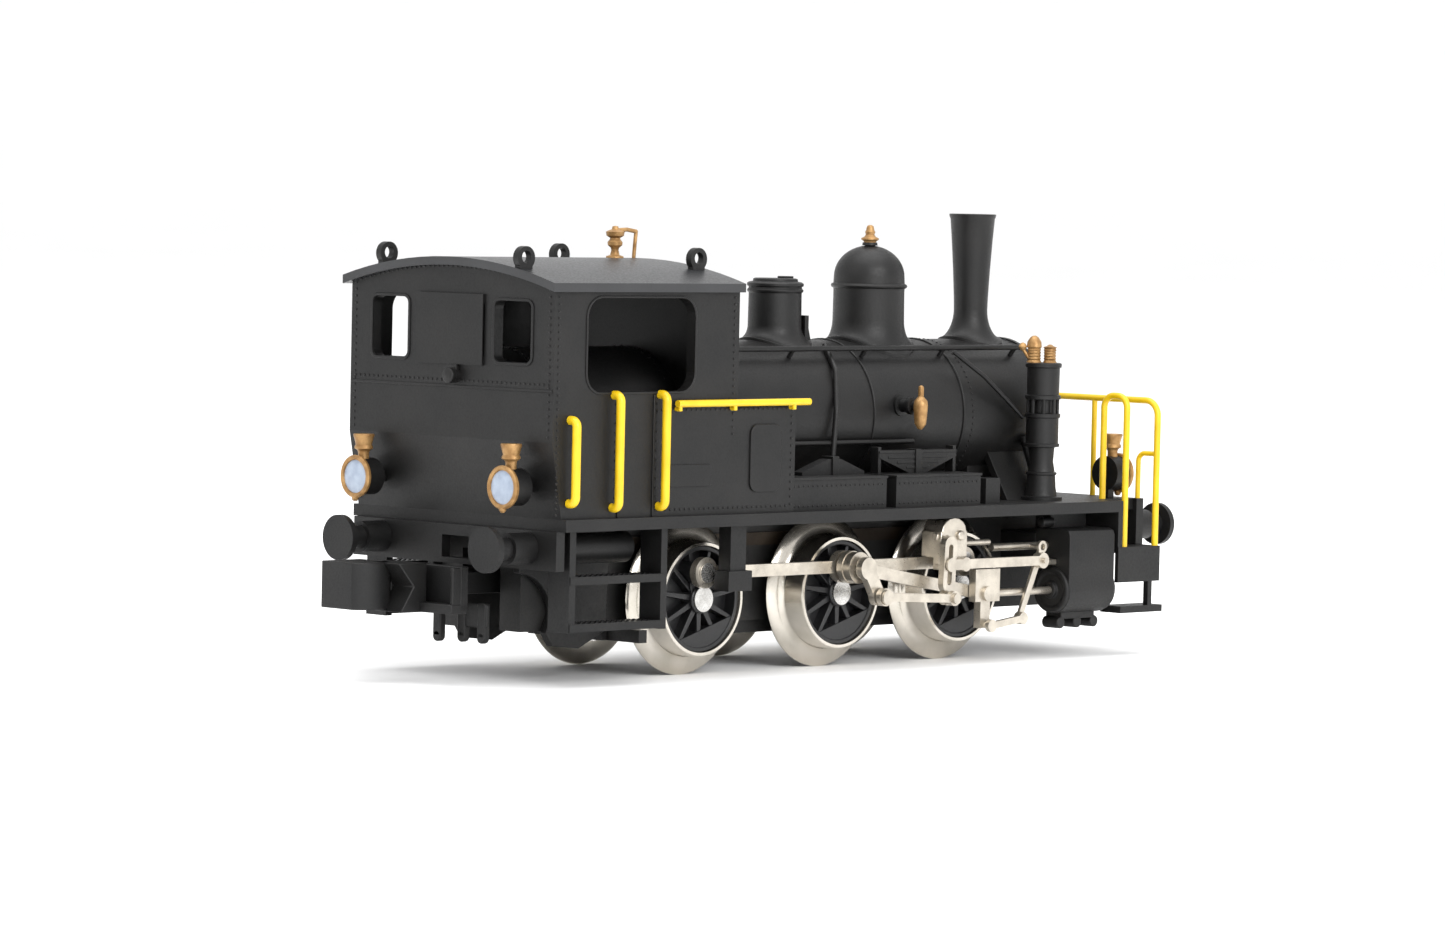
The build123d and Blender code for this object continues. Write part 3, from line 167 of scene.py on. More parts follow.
# ---- building pieces: sizes in millimetres, in the model's frame ----
class Piece:
    """Solids gathered in one mesh, then made into one object."""

    def __init__(self, name):
        self.name = name
        self.mesh = bmesh.new()

    def box(self, x0, x1, y0, y1, z0, z1):
        made = bmesh.ops.create_cube(self.mesh, size=1)["verts"]
        size = Matrix.Diagonal((x1 - x0, abs(y1 - y0), z1 - z0, 1))
        place = Matrix.Translation(((x0 + x1) / 2, (y0 + y1) / 2, (z0 + z1) / 2))
        bmesh.ops.transform(self.mesh, matrix=place @ size, verts=made)

    def prism(self, outline, start, along):
        """The outline, a closed list of points, pushed along a vector from start."""
        near = [self.mesh.verts.new(Vector(start) + Vector(p)) for p in outline]
        far = [self.mesh.verts.new(Vector(start) + Vector(p) + Vector(along)) for p in outline]
        count = len(outline)
        self.mesh.faces.new(near)
        self.mesh.faces.new(list(reversed(far)))
        for i in range(count):
            j = (i + 1) % count
            self.mesh.faces.new((near[j], near[i], far[i], far[j]))

    def skin(self, rings):
        """Faces between each closed ring of points and the next."""
        for a, b in zip(rings, rings[1:]):
            for i in range(len(a)):
                j = (i + 1) % len(a)
                self.mesh.faces.new((a[i], a[j], b[j], b[i]))

    def lathe(self, centre, axis, profile, segments=40, capped=True):
        """A turned shape: profile is (distance along axis, radius) from one end to the other."""
        axis = Vector(axis).normalized()
        side = axis.orthogonal().normalized()
        up = axis.cross(side)
        rings = []
        for distance, radius in profile:
            middle = Vector(centre) + axis * distance
            ring = []
            for i in range(segments):
                angle = 2 * math.pi * i / segments
                out = side * math.cos(angle) + up * math.sin(angle)
                ring.append(self.mesh.verts.new(middle + out * max(radius, 0.004)))
            rings.append(ring)
        self.skin(rings)
        if capped:
            self.mesh.faces.new(list(reversed(rings[0])))
            self.mesh.faces.new(rings[-1])

    def tube(self, points, radius, segments=12):
        """A round wire through the points."""
        points = [Vector(p) for p in points]
        rings = []
        side = (points[1] - points[0]).orthogonal().normalized()
        for i, point in enumerate(points):
            before = points[max(i - 1, 0)]
            after = points[min(i + 1, len(points) - 1)]
            tangent = (after - before).normalized()
            side = (side - tangent * side.dot(tangent)).normalized()
            other = tangent.cross(side)
            ring = []
            for k in range(segments):
                angle = 2 * math.pi * k / segments
                ring.append(self.mesh.verts.new(
                    point + (side * math.cos(angle) + other * math.sin(angle)) * radius))
            rings.append(ring)
        self.skin(rings)
        self.mesh.faces.new(list(reversed(rings[0])))
        self.mesh.faces.new(rings[-1])

    def rivet(self, place, normal, radius=0.09):
        self.lathe(place, normal, ((-0.02, radius), (radius * 0.35, radius * 0.86),
                                   (radius * 0.6, radius * 0.3)), 8)

    def finish(self, material, body, replaces=(), edge=0.04, smooth=40):
        bmesh.ops.recalc_face_normals(self.mesh, faces=self.mesh.faces)
        bmesh.ops.scale(self.mesh, vec=(MM, MM, MM), verts=self.mesh.verts)
        data = bpy.data.meshes.new(self.name)
        self.mesh.to_mesh(data)
        self.mesh.free()
        shape = bpy.data.objects.new(self.name, data)
        bpy.context.scene.collection.objects.link(shape)
        data.materials.append(material)
        if edge:
            rounding = shape.modifiers.new("edges", "BEVEL")
            rounding.width = edge * MM
            rounding.segments = 2
            rounding.limit_method = "ANGLE"
            rounding.angle_limit = math.radians(smooth)
        for face in data.polygons:
            face.use_smooth = True
        data.set_sharp_from_angle(angle=math.radians(smooth))
        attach(shape, body)
        if replaces:
            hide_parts(*replaces)


def arc(centre, radius, start, end, steps, make):
    """Points along an arc, in degrees, each built by make(u, v)."""
    points = []
    for i in range(steps + 1):
        angle = math.radians(start + (end - start) * i / steps)
        points.append(make(centre[0] + radius * math.cos(angle), centre[1] + radius * math.sin(angle)))
    return points


# ---- wheels: nickel tyres round black spoked centres ----
AXLE_X = (-9.0, 1.95, 11.85)
AXLE_Z = 4.25
TREAD_R, FLANGE_R = 3.2, 4.25
BACK_Y, FACE_Y = 3.75, 5.64
CRANK_R = 1.5625
CRANK_DEG = {-1: 106.7, 1: 16.7}
SPOKES = 11
SPOKE_BACK_Y, SPOKE_DEPTH = 4.7, 0.68
SPOKE_START_R, SPOKE_END_R = 0.6, 2.75
HUB_HALF, RIM_HALF = 0.17, 0.11
RIM_SEGMENTS = 60
WEIGHT_HALF_TURN, WEIGHT_STEP = 52, 8


def ring_point(x, z, radius, degrees, y):
    angle = math.radians(degrees)
    return Vector((x + radius * math.cos(angle), y, z + radius * math.sin(angle)))


def spoked_wheel(name, axle, body):
    tyres = Piece(name + "_tyres")
    centres = Piece(name + "_spokes")
    for side in (-1, 1):
        out = Vector((0, side, 0))
        start = Vector((axle, 0, AXLE_Z))
        tyres.lathe(start, out, (
            (4.74, 2.84), (BACK_Y, 2.84), (BACK_Y, 4.0), (BACK_Y + 0.08, 4.2), (BACK_Y + 0.2, FLANGE_R),
            (BACK_Y + 0.34, 4.1),
            (BACK_Y + 0.42, 3.6), (BACK_Y + 0.5, 3.3), (BACK_Y + 0.62, TREAD_R),
            (FACE_Y - 0.06, TREAD_R - 0.05),
            (FACE_Y, TREAD_R - 0.1), (FACE_Y, TREAD_R - 0.26), (FACE_Y - 0.12, TREAD_R - 0.28),
            (4.74, TREAD_R - 0.3),
            (4.74, 2.84)), 72, False)
        crank = CRANK_DEG[side]
        # backing disc, rim, hub, crank boss and pin
        centres.lathe(start, out, ((BACK_Y + 0.1, 2.85), (4.75, 2.85)), 48)
        centres.lathe(start, out, ((4.7, 0.82), (5.55, 0.8), (5.62, 0.72)), 28)
        rim = [(4.7, 2.66), (5.46, 2.66), (5.5, 2.7), (5.5, 2.9), (4.7, 2.93)]
        loops = []
        for distance, radius in rim:
            loops.append([centres.mesh.verts.new(ring_point(axle, AXLE_Z, radius, 360 * i / RIM_SEGMENTS,
                                                            side * distance))
                          for i in range(RIM_SEGMENTS)])
        centres.skin(loops)
        for i in range(SPOKES):
            degrees = crank + 360 * i / SPOKES
            angle = math.radians(degrees)
            along = Vector((math.cos(angle), 0, math.sin(angle)))
            across = Vector((-math.sin(angle), 0, math.cos(angle)))
            root = start + out * SPOKE_BACK_Y + along * SPOKE_START_R
            end = start + out * SPOKE_BACK_Y + along * SPOKE_END_R
            outline = [root + across * HUB_HALF, end + across * RIM_HALF,
                       end - across * RIM_HALF, root - across * HUB_HALF]
            centres.prism(outline, (0, 0, 0), out * SPOKE_DEPTH)
        # balance weight opposite the crank, with a straight inner edge
        weight = [ring_point(axle, AXLE_Z, 2.72, crank + 180 + t, side * 4.72)
                  for t in range(-WEIGHT_HALF_TURN, WEIGHT_HALF_TURN + 1, WEIGHT_STEP)]
        centres.prism(weight, (0, 0, 0), out * 0.72)
        pin = ring_point(axle, AXLE_Z, CRANK_R, crank, 0)
        centres.lathe(pin, out, ((4.7, 0.66), (5.78, 0.62)), 24)
        centres.lathe(ring_point(axle, AXLE_Z, CRANK_R * 0.5, crank, 0), out, ((4.7, 0.62), (5.5, 0.6)), 20)
    tyres.finish(TYRE, body, (name + "_wheels",), edge=0, smooth=50)
    centres.finish(SPOKE_BLACK, body, edge=0.03)


for wheel_name, axle in zip(("rear", "middle", "front"), AXLE_X):
    spoked_wheel(wheel_name, axle, wheel_name + "_wheelset")


# ---- rear coupler: a wedge-nosed box head on a shank, with a coil spring behind ----
def coupler():
    head = Piece("coupler_head_moulding")
    z0, z1 = 3.95, 6.45
    mid = (z0 + z1) / 2
    # nose: a blade with a ridge along its middle
    nose = [(-28.95, 3.2), (-28.95, 0.75), (-28.6, 0.35), (-27.6, 0.05), (-26.6, 0.35), (-26.2, 1.0),
            (-26.2, 3.2)]
    head.prism([(x, y, z0) for x, y in nose], (0, 0, 0), (0, 0, z1 - z0))
    ridge = [(-28.85, 0.72, mid - 0.16), (-28.85, 0.6, mid), (-28.85, 0.72, mid + 0.16)]
    head.prism(ridge, (0, 0, 0), (0.9, -0.45, 0))
    # cheek: its face comes to a point half way up
    tip, back = -27.3, -25.2
    cheek = [(back, 0, z0 - 0.1), (back, 0, z1), (tip + 0.1, 0, z1), (tip + 1.2, 0, mid),
             (tip + 0.3, 0, z0 - 0.1)]
    head.prism(cheek, (0, -1.0, 0), (0, 2.2, 0))
    # open box behind: back plate, lower lip, end wall, and solid behind the nose
    head.box(-24.75, -24.2, -3.2, 3.0, z0, z1 - 0.1)
    head.box(-26.3, -24.28, 0.6, 2.96, z0 + 0.05, z1 - 0.16)
    head.box(-25.3, -24.25, -3.16, -2.95, z0 + 0.1, z1 - 0.14)
    head.prism([(-25.4, -3.2, z0 - 0.1), (-24.2, -3.2, z0 - 0.1), (-24.2, 3.0, z0 - 0.1),
                (-25.9, 3.0, z0 - 0.1),
                (-25.9, 0.4, z0 - 0.1)], (0, 0, 0), (0, 0, 0.5))
    head.box(-24.3, -18.7, -0.68, 0.68, 4.65, 5.85)
    head.lathe((-18.9, 0, 4.7), (0, 0, 1), ((-0.1, 0.6), (1.1, 0.6)), 24)
    head.finish(PLASTIC, "rear_coupler", ("coupler_head",), edge=0.09)

    coil = Piece("coupler_spring_coil")
    turns, steps = 8, 24
    line = []
    for i in range(turns * steps + 1):
        angle = 2 * math.pi * i / steps
        line.append((-18.45 + 2.45 * i / (turns * steps), 0.52 * math.cos(angle),
                     5.25 + 0.52 * math.sin(angle)))
    coil.tube(line, 0.1, 8)
    coil.finish(STEEL, "root", ("coupler_spring",), edge=0)


coupler()

# ---- hanging tabs and the curved side frame under the rear beam ----
tabs = Piece("rear_under_frame")
for y, x in ((-0.1, -23.4), (-1.15, -22.6), (-2.7, -22.6)):
    tabs.box(x - 0.2, x + 0.2, y - 0.3, y + 0.3, 2.45, 4.3)
    tabs.lathe((x - 0.2, y, 2.45), (1, 0, 0), ((0, 0.3), (0.4, 0.3)), 20)
tabs.box(-22.72, -22.48, -3.05, -0.8, 3.0, 4.25)
for side in (-1, 1):
    arch = arc((-21.0, 3.3), 2.6, 88, 8, 8, lambda x, z: (x, 0, z))
    arch += [(-18.9, 0, 2.6), (-18.4, 0, 1.9), (-16.4, 0, 1.7), (-14.4, 0, 2.6), (-14.2, 0, 6.6),
             (-20.9, 0, 6.6)]
    tabs.prism(arch, (0, side * 3.15, 0), (0, side * 0.5, 0))
tabs.finish(PLASTIC, "root", edge=0.06)

# ---- cab: rivet rows, raised panels, window frames and door posts ----
CAB_REAR_X, CAB_FRONT_X, CAB_Y = -22.85, -9.0, 8.0
BOARD_Z = 9.05
RIVET_R, RIVET_PITCH = 0.085, 0.37
EAVES_Z = 21.55


def cab_roof_z(y):
    return EAVES_Z + 1.2 - (29.65 - math.sqrt(29.65 ** 2 - y * y))


def framed_panel(piece, make, u0, u1, v0, v1, radius, depth, steps=6):
    """A raised panel with rounded corners; make(u, v, h) places a point h out from the wall."""
    outline = []
    for cu, cv, start in ((u1 - radius, v1 - radius, 0), (u0 + radius, v1 - radius, 90),
                          (u0 + radius, v0 + radius, 180), (u1 - radius, v0 + radius, 270)):
        for i in range(steps + 1):
            angle = math.radians(start + 90 * i / steps)
            outline.append((cu + radius * math.cos(angle), cv + radius * math.sin(angle)))
    near = [make(u, v, -0.02) for u, v in outline]
    out = Vector(make(0, 0, depth)) - Vector(make(0, 0, -0.02))
    piece.prism(near, (0, 0, 0), out)


def window_frame(piece, make, u0, u1, v0, v1, radius, width, depth):
    """A raised band round an opening."""
    steps = 6
    loops = []
    for grow, height in ((0, -0.02), (0, depth), (width, depth), (width, -0.02)):
        ring = []
        r = radius + grow
        for cu, cv, start in ((u1 + grow - r, v1 + grow - r, 0), (u0 - grow + r, v1 + grow - r, 90),
                              (u0 - grow + r, v0 - grow + r, 180), (u1 + grow - r, v0 - grow + r, 270)):
            for i in range(steps + 1):
                angle = math.radians(start + 90 * i / steps)
                ring.append(piece.mesh.verts.new(make(cu + r * math.cos(angle), cv + r * math.sin(angle),
                                                      height)))
        loops.append(ring)
    piece.skin(loops)


def rear_wall(u, v, h):
    return (CAB_REAR_X - h, u, v)


trim = Piece("cab_trim")
rivets = Piece("cab_rivets")
framed_panel(trim, rear_wall, -2.6, 2.6, 17.0, 20.8, 0.5, 0.11)
for side in (-1, 1):
    edges = sorted((side * 3.4, side * 6.25))
    window_frame(trim, rear_wall, edges[0], edges[1], 17.25, 20.5, 0.35, 0.16, 0.07)


def side_wall(side):
    return lambda u, v, h: (u, side * (CAB_Y + h), v)


for side in (-1, 1):
    wall = side_wall(side)
    # window frame, tank inspection cover, the blank plate, and the door posts
    window_frame(trim, wall, -20.4, -12.4, 15.75, 20.75, 1.0, 0.13, 0.06)
    framed_panel(trim, wall, -8.0, -5.6, 10.2, 13.9, 0.55, 0.1)
    framed_panel(trim, wall, -14.1, -11.0, 10.6, 11.8, 0.12, 0.07)
    trim.box(-18.05, -17.9, side * CAB_Y, side * (CAB_Y + 0.08), BOARD_Z, 15.6)
    trim.box(-15.45, -15.3, side * CAB_Y, side * (CAB_Y + 0.08), BOARD_Z, 15.6)
    # rivets down the corner, along the waist, and round the tank
    for i in range(22):
        rivets.rivet((CAB_REAR_X + 0.35, side * CAB_Y, 13.4 + i * RIVET_PITCH), (0, side, 0), RIVET_R)
        rivets.rivet((CAB_REAR_X, side * (CAB_Y - 0.35), 13.4 + i * RIVET_PITCH), (-1, 0, 0), RIVET_R)
        rivets.rivet((CAB_FRONT_X - 0.35, side * CAB_Y, 13.4 + i * RIVET_PITCH), (0, side, 0), RIVET_R)
    for i in range(13):
        rivets.rivet((CAB_REAR_X + 0.35, side * CAB_Y, 9.3 + i * 0.33), (0, side, 0), RIVET_R)
    for i in range(36):
        rivets.rivet((-22.4 + i * RIVET_PITCH, side * CAB_Y, 21.2), (0, side, 0), RIVET_R)
    for i in range(14):
        rivets.rivet((-4.75, side * CAB_Y, 9.5 + i * 0.4), (0, side, 0), RIVET_R)
    for i in range(28):
        rivets.rivet((-15.1 + i * RIVET_PITCH, side * CAB_Y, 9.4), (0, side, 0), RIVET_R)
        rivets.rivet((-15.1 + i * RIVET_PITCH, side * CAB_Y, 14.75), (0, side, 0), RIVET_R)
    for i in range(12):
        rivets.rivet((-18.2, side * CAB_Y, 9.6 + i * 0.5), (0, side, 0), RIVET_R)
        rivets.rivet((-15.15, side * CAB_Y, 9.6 + i * 0.5), (0, side, 0), RIVET_R)
for i in range(43):
    y = -7.6 + i * 0.362
    rivets.rivet((CAB_REAR_X, y, 16.15), (-1, 0, 0), RIVET_R)
    rivets.rivet((CAB_REAR_X, y, cab_roof_z(y) - 0.5), (-1, 0, 0), RIVET_R)
# lap of the rear sheets, and the knob under the panel
trim.box(CAB_REAR_X - 0.06, CAB_REAR_X, -CAB_Y + 0.05, CAB_Y - 0.05, 15.75, 15.9)
trim.lathe((CAB_REAR_X, -0.45, 16.4), (-1, 0, 0), ((-0.05, 0.22), (0.3, 0.2), (0.34, 0.42), (0.62, 0.42),
                                                   (0.7, 0.3)), 24)
trim.box(CAB_REAR_X - 0.25, CAB_REAR_X, -0.7, -0.2, 16.3, 17.0)
trim.finish(BLACK, "root", edge=0.03)
rivets.finish(BLACK, "root", edge=0)

# drum seen through the cab windows: a riveted band on the motor cover
band = Piece("cab_drum_band")
for i in range(15):
    angle = math.radians(-50 + 100 * i / 14)
    for x in (-19.2, -10.1):
        band.rivet((x, 4.5 * math.sin(angle), 13.4 + 4.5 * math.cos(angle)),
                   (0, math.sin(angle), math.cos(angle)), 0.1)
band.finish(BLACK, "root", edge=0)

# ---- boiler top: domes and chimney with their saddle flanges ----
BOILER_R, BOILER_Z = 4.2, 14.0
STEAM_DOME_X, SAND_DOME_X, CHIMNEY_X = 9.66, 1.95, 18.36


def boiler_top(y):
    return BOILER_Z + math.sqrt(max(BOILER_R ** 2 - y * y, 0.5))


def saddle(piece, x, radius, flare, top_z, lip=0.16, segments=56, steps=10):
    """A flared foot that runs from a round wall down to the curve of the boiler, with a thick lip."""
    rings = []
    for k in range(steps + 1):
        angle = math.radians(90 * k / steps)
        share = 1 - math.sin(angle)
        reach = radius + flare * (1 - math.cos(angle))
        ring = []
        for i in range(segments):
            turn = 2 * math.pi * i / segments
            y = reach * math.sin(turn)
            z = (1 - share) * (boiler_top(y) + lip) + share * top_z
            ring.append(piece.mesh.verts.new((x + reach * math.cos(turn), y, z)))
        rings.append(ring)
    ring = []
    for i in range(segments):
        turn = 2 * math.pi * i / segments
        y = (radius + flare) * math.sin(turn)
        ring.append(piece.mesh.verts.new((x + (radius + flare) * math.cos(turn), y, boiler_top(y) - 0.15)))
    rings.append(ring)
    piece.skin(rings)


UP = (0, 0, 1)
dome = Piece("steam_dome_casing")
saddle(dome, STEAM_DOME_X, 2.06, 0.62, 19.3)
dome_profile = [(19.2, 2.06), (20.9, 2.04), (21.12, 2.05), (21.18, 2.16), (21.27, 2.2), (21.36, 2.16),
                (21.42, 2.05), (21.8, 2.03)]
for k in range(1, 12):
    angle = math.radians(90 * k / 12)
    dome_profile.append((21.8 + 1.78 * math.sin(angle), 2.03 * math.cos(angle)))
dome_profile += [(23.58, 0.5), (23.6, 0.44), (23.75, 0.42)]
dome.lathe((STEAM_DOME_X, 0, 0), UP, dome_profile, 56)
dome.finish(BLACK, "root", ("steam_dome",), edge=0)

finial = Piece("safety_valve_finial")
finial.lathe((STEAM_DOME_X, 0, 0), UP, (
    (23.7, 0.34), (23.8, 0.36), (23.92, 0.52), (24.0, 0.5), (24.08, 0.33), (24.2, 0.25), (24.35, 0.3),
    (24.45, 0.24),
    (24.55, 0.22), (24.68, 0.19), (24.75, 0.08)), 24)
finial.finish(BRASS, "root", ("safety_valve",), edge=0)

sand = Piece("sand_dome_casing")
saddle(sand, SAND_DOME_X, 1.52, 0.6, 19.0)
sand.lathe((SAND_DOME_X, 0, 0), UP, (
    (18.9, 1.52), (20.85, 1.5), (20.92, 1.58), (21.02, 1.6), (21.1, 1.52), (21.18, 1.5), (21.24, 1.6),
    (21.38, 1.61),
    (21.46, 1.5), (21.5, 1.28), (21.64, 1.26), (21.68, 1.15)), 48)
sand.box(SAND_DOME_X + 0.1, SAND_DOME_X + 0.9, -0.55, -0.05, 21.6, 21.8)
sand.box(SAND_DOME_X + 1.25, SAND_DOME_X + 1.55, -1.2, -0.5, 18.2, 19.6)
sand.prism([(3.2, 0, 19.6), (3.5, 0, 19.6), (3.9, 0, 18.2), (3.2, 0, 18.2)], (0, -1.0, 0), (0, 0.4, 0))
sand.finish(BLACK, "root", ("sand_dome",), edge=0.02)

stack = Piece("chimney_casing")
saddle(stack, CHIMNEY_X, 0.98, 0.9, 19.9)
stack.lathe((CHIMNEY_X, 0, 0), UP, (
    (19.85, 0.98), (20.6, 1.0), (22.2, 1.08), (24.0, 1.2), (25.2, 1.3), (25.34, 1.36), (25.46, 1.37),
    (25.48, 1.3),
    (25.48, 1.16), (25.1, 1.1), (23.6, 1.0), (21.0, 0.85)), 48)
stack.finish(BLACK, "root", ("chimney",), edge=0)

# ---- bronze fittings ----
clacks = Piece("clack_valve_bodies")
stubs = Piece("clack_valve_stubs")
CLACK_X, CLACK_Y, CLACK_Z = 8.1, 5.7, 14.6
for side in (-1, 1):
    out = (0, side, 0)
    clacks.lathe((CLACK_X, side * CLACK_Y, CLACK_Z), UP, (
        (-1.32, 0.1), (-1.22, 0.2), (-1.0, 0.33), (-0.5, 0.38), (0.0, 0.41), (0.3, 0.38), (0.46, 0.24),
        (0.55, 0.16),
        (0.9, 0.17), (1.1, 0.15), (1.18, 0.05)), 24)
    stubs.lathe((CLACK_X, 0, CLACK_Z), out, (
        (4.0, 0.62), (4.3, 0.62), (4.34, 0.4), (4.8, 0.36), (4.86, 0.5), (5.15, 0.5), (5.2, 0.3),
        (5.6, 0.28)), 24)
clacks.finish(BRASS, "root", ("clack_valves",), edge=0)
stubs.finish(BLACK, "root", edge=0)

PUMP_X, PUMP_Y = 18.6, -5.6
pump = Piece("air_pump_body")
pump.lathe((PUMP_X, PUMP_Y, 0), UP, (
    (9.05, 1.25), (9.25, 1.25), (9.3, 0.95), (9.8, 0.86), (10.5, 0.82), (10.55, 0.9), (10.65, 0.9),
    (10.7, 0.78),
    (11.3, 0.68), (12.1, 0.74), (12.15, 1.0), (12.3, 1.02), (12.35, 0.94), (13.8, 0.94), (13.85, 1.03),
    (14.05, 1.03),
    (14.1, 0.62), (14.85, 0.62), (14.9, 1.03), (15.1, 1.03), (15.15, 0.93), (16.7, 0.95), (16.75, 1.05),
    (16.95, 1.05),
    (17.0, 0.95)), 40)
for i in range(8):
    angle = 2 * math.pi * i / 8
    pump.lathe((PUMP_X + 0.84 * math.cos(angle), PUMP_Y + 0.84 * math.sin(angle), 14.05), UP,
               ((0, 0.11), (0.9, 0.11)), 8)
pump.tube([(18.9, -4.0, 12.6), (18.9, -4.6, 11.2), (18.8, -5.2, 9.9), (18.8, -5.4, 9.1)], 0.32, 14)
pump.finish(BLACK, "root", ("air_pump",), edge=0)

pots = Piece("lubricator_pots")
for x, y, height, width in ((18.25, -5.15, 18.55, 0.44), (18.95, -5.75, 18.05, 0.4)):
    ribs = [(17.0, width), (17.1, width * 0.9)]
    for k in range(4):
        z = 17.15 + k * 0.17
        ribs += [(z, width * 0.82), (z + 0.08, width * 0.92), (z + 0.14, width * 0.82)]
    ribs += [(17.9, width), (height - 0.35, width * 0.92), (height - 0.1, width * 0.55),
             (height, width * 0.2)]
    pots.lathe((x, y, 0), UP, sorted(ribs), 24)
pots.lathe((17.7, -4.75, 17.9), UP, ((-0.24, 0.05), (-0.17, 0.17), (0, 0.25), (0.17, 0.17), (0.24, 0.05)), 20)
pots.tube([(17.7, -4.75, 17.8), (17.95, -4.95, 17.3), (18.1, -5.1, 17.1)], 0.1, 10)
pots.finish(BRASS, "root", ("lubricators",), edge=0)

WHISTLE_X, ROOF_Z = -10.75, 22.75
whistle = Piece("whistle_casting")
whistle.lathe((WHISTLE_X, 0, ROOF_Z), UP, (
    (-0.15, 0.5), (0.08, 0.48), (0.16, 0.26), (0.42, 0.2), (0.55, 0.24), (0.68, 0.4), (0.85, 0.42),
    (1.0, 0.3), (1.08, 0.28),
    (1.2, 0.48), (1.42, 0.52), (1.5, 0.36), (1.56, 0.2), (1.72, 0.16), (1.75, 0.05)), 24)
whistle.tube([(WHISTLE_X, 0, 24.25), (WHISTLE_X + 0.9, 0, 24.3), (WHISTLE_X + 1.6, 0, 24.2)], 0.12, 10)
whistle.tube([(WHISTLE_X + 1.6, 0, 24.25), (WHISTLE_X + 1.52, 0, 23.5), (WHISTLE_X + 1.45, 0, 22.7)], 0.11,
             10)
whistle.finish(BRASS, "root", ("whistle",), edge=0)

# ---- lamps: rim, flared cap on its neck, and the nub beneath ----
LAMPS = ((-24.45, -23.75, -1, 10.7), (25.3, 24.6, 1, 10.5))
rims = Piece("lamp_rims_and_caps")
glass = Piece("lamp_glass")
for face_x, cap_x, facing, z in LAMPS:
    for y in (-5.82, 5.82):
        out = (facing, 0, 0)
        place = (face_x, y, z)
        loops = []
        for distance, radius in ((-0.3, 1.02), (-0.26, 1.14), (-0.1, 1.17), (-0.02, 1.08), (-0.05, 0.92),
                                 (-0.2, 0.88)):
            loops.append([rims.mesh.verts.new((face_x + facing * distance,
                                               y + radius * math.cos(2 * math.pi * i / 48),
                                               z + radius * math.sin(2 * math.pi * i / 48)))
                          for i in range(48)])
        rims.skin(loops)
        rims.lathe((cap_x, y, z), UP, (
            (0.95, 0.3), (1.3, 0.3), (1.42, 0.36), (1.5, 0.5), (1.62, 0.5), (1.72, 0.44), (2.05, 0.52),
            (2.22, 0.58),
            (2.3, 0.56), (2.3, 0.3)), 24)
        rims.lathe((face_x - facing * 0.16, y, z - 1.05), (0, 0, -1), ((0, 0.2), (0.15, 0.2), (0.28, 0.1)),
                   16)
        glass.lathe(place, out, ((-0.25, 0.93), (-0.14, 0.9), (-0.1, 0.6), (-0.08, 0.2)), 40)
rims.finish(BRASS, "root", ("lamp_rims",), edge=0)
glass.finish(LENS, "root", ("lamp_lenses",), edge=0)

# ---- above the footplate: rivets on the boxes, spring leaves, side ledge ----
side_trim = Piece("boiler_side_trim")
for side in (-1, 1):
    side_trim.tube([(-4.4, side * 4.35, 12.55), (9.0, side * 4.35, 12.55)], 0.14, 12)
    side_trim.tube([(-8.9, side * 4.6, 16.6), (-6.6, side * 4.6, 16.6), (-6.25, side * 4.6, 16.45),
                    (-6.1, side * 4.6, 16.1),
                    (-6.1, side * 4.6, 15.0)], 0.17, 12)
    for x0, x1, count in ((-4.0, 3.1, 20), (4.5, 10.9, 18)):
        for i in range(count):
            side_trim.rivet((x0 + (x1 - x0) * i / (count - 1), side * 7.6, 10.4), (0, side, 0), 0.075)
            side_trim.rivet((x0 + (x1 - x0) * i / (count - 1), side * 7.6, 9.3), (0, side, 0), 0.075)
    side_trim.box(-4.35, 3.45, side * 5.35, side * 7.68, 10.72, 10.86)
    side_trim.box(4.15, 11.25, side * 4.95, side * 7.68, 10.72, 10.86)
    # leaf spring buckles and hangers
    side_trim.box(7.45, 7.95, side * 5.15, side * 6.05, 10.75, 12.2)
    side_trim.box(0.65, 1.15, side * 5.15, side * 6.05, 10.8, 11.9)
    for x in (4.6, 10.8):
        side_trim.box(x - 0.12, x + 0.12, side * 5.3, side * 5.9, 10.8, 12.35)
    for k in range(4):
        side_trim.box(4.5 + 0.75 * k, 10.9 - 0.75 * k, side * 5.22, side * 5.98, 11.98 - 0.29 * k,
                      12.14 - 0.29 * k)
    # smokebox saddle, running down and out to the cylinders
    side_trim.prism([(16.2, side * 3.3, 12.2), (20.4, side * 3.3, 12.2), (20.4, side * 5.2, 9.05),
                     (16.2, side * 5.2, 9.05)],
                    (0, 0, 0), (0, -side * 0.5, 0))
    side_trim.tube([(12.6, side * 4.0, 17.6), (14.6, side * 4.6, 16.2), (16.6, side * 4.9, 14.6),
                    (17.6, side * 5.0, 13.8)],
                   0.13, 10)
side_trim.finish(BLACK, "root", edge=0.02)

# boiler bands and smokebox rivets
bands = Piece("boiler_bands")
for x in (5.9, 13.4):
    steps = 60
    ring = []
    for i in range(steps + 1):
        angle = math.radians(-60 + 300 * i / steps)
        ring.append((x, (BOILER_R + 0.02) * math.cos(angle), BOILER_Z + (BOILER_R + 0.02) * math.sin(angle)))
    bands.tube(ring, 0.07, 8)
for i in range(60):
    angle = math.radians(-50 + 280 * i / 59)
    bands.rivet((20.5, BOILER_R * math.cos(angle), BOILER_Z + BOILER_R * math.sin(angle)),
                (0, math.cos(angle), math.sin(angle)), 0.08)
    bands.rivet((14.2, BOILER_R * math.cos(angle), BOILER_Z + BOILER_R * math.sin(angle)),
                (0, math.cos(angle), math.sin(angle)), 0.08)
bands.finish(BLACK, "root", edge=0)

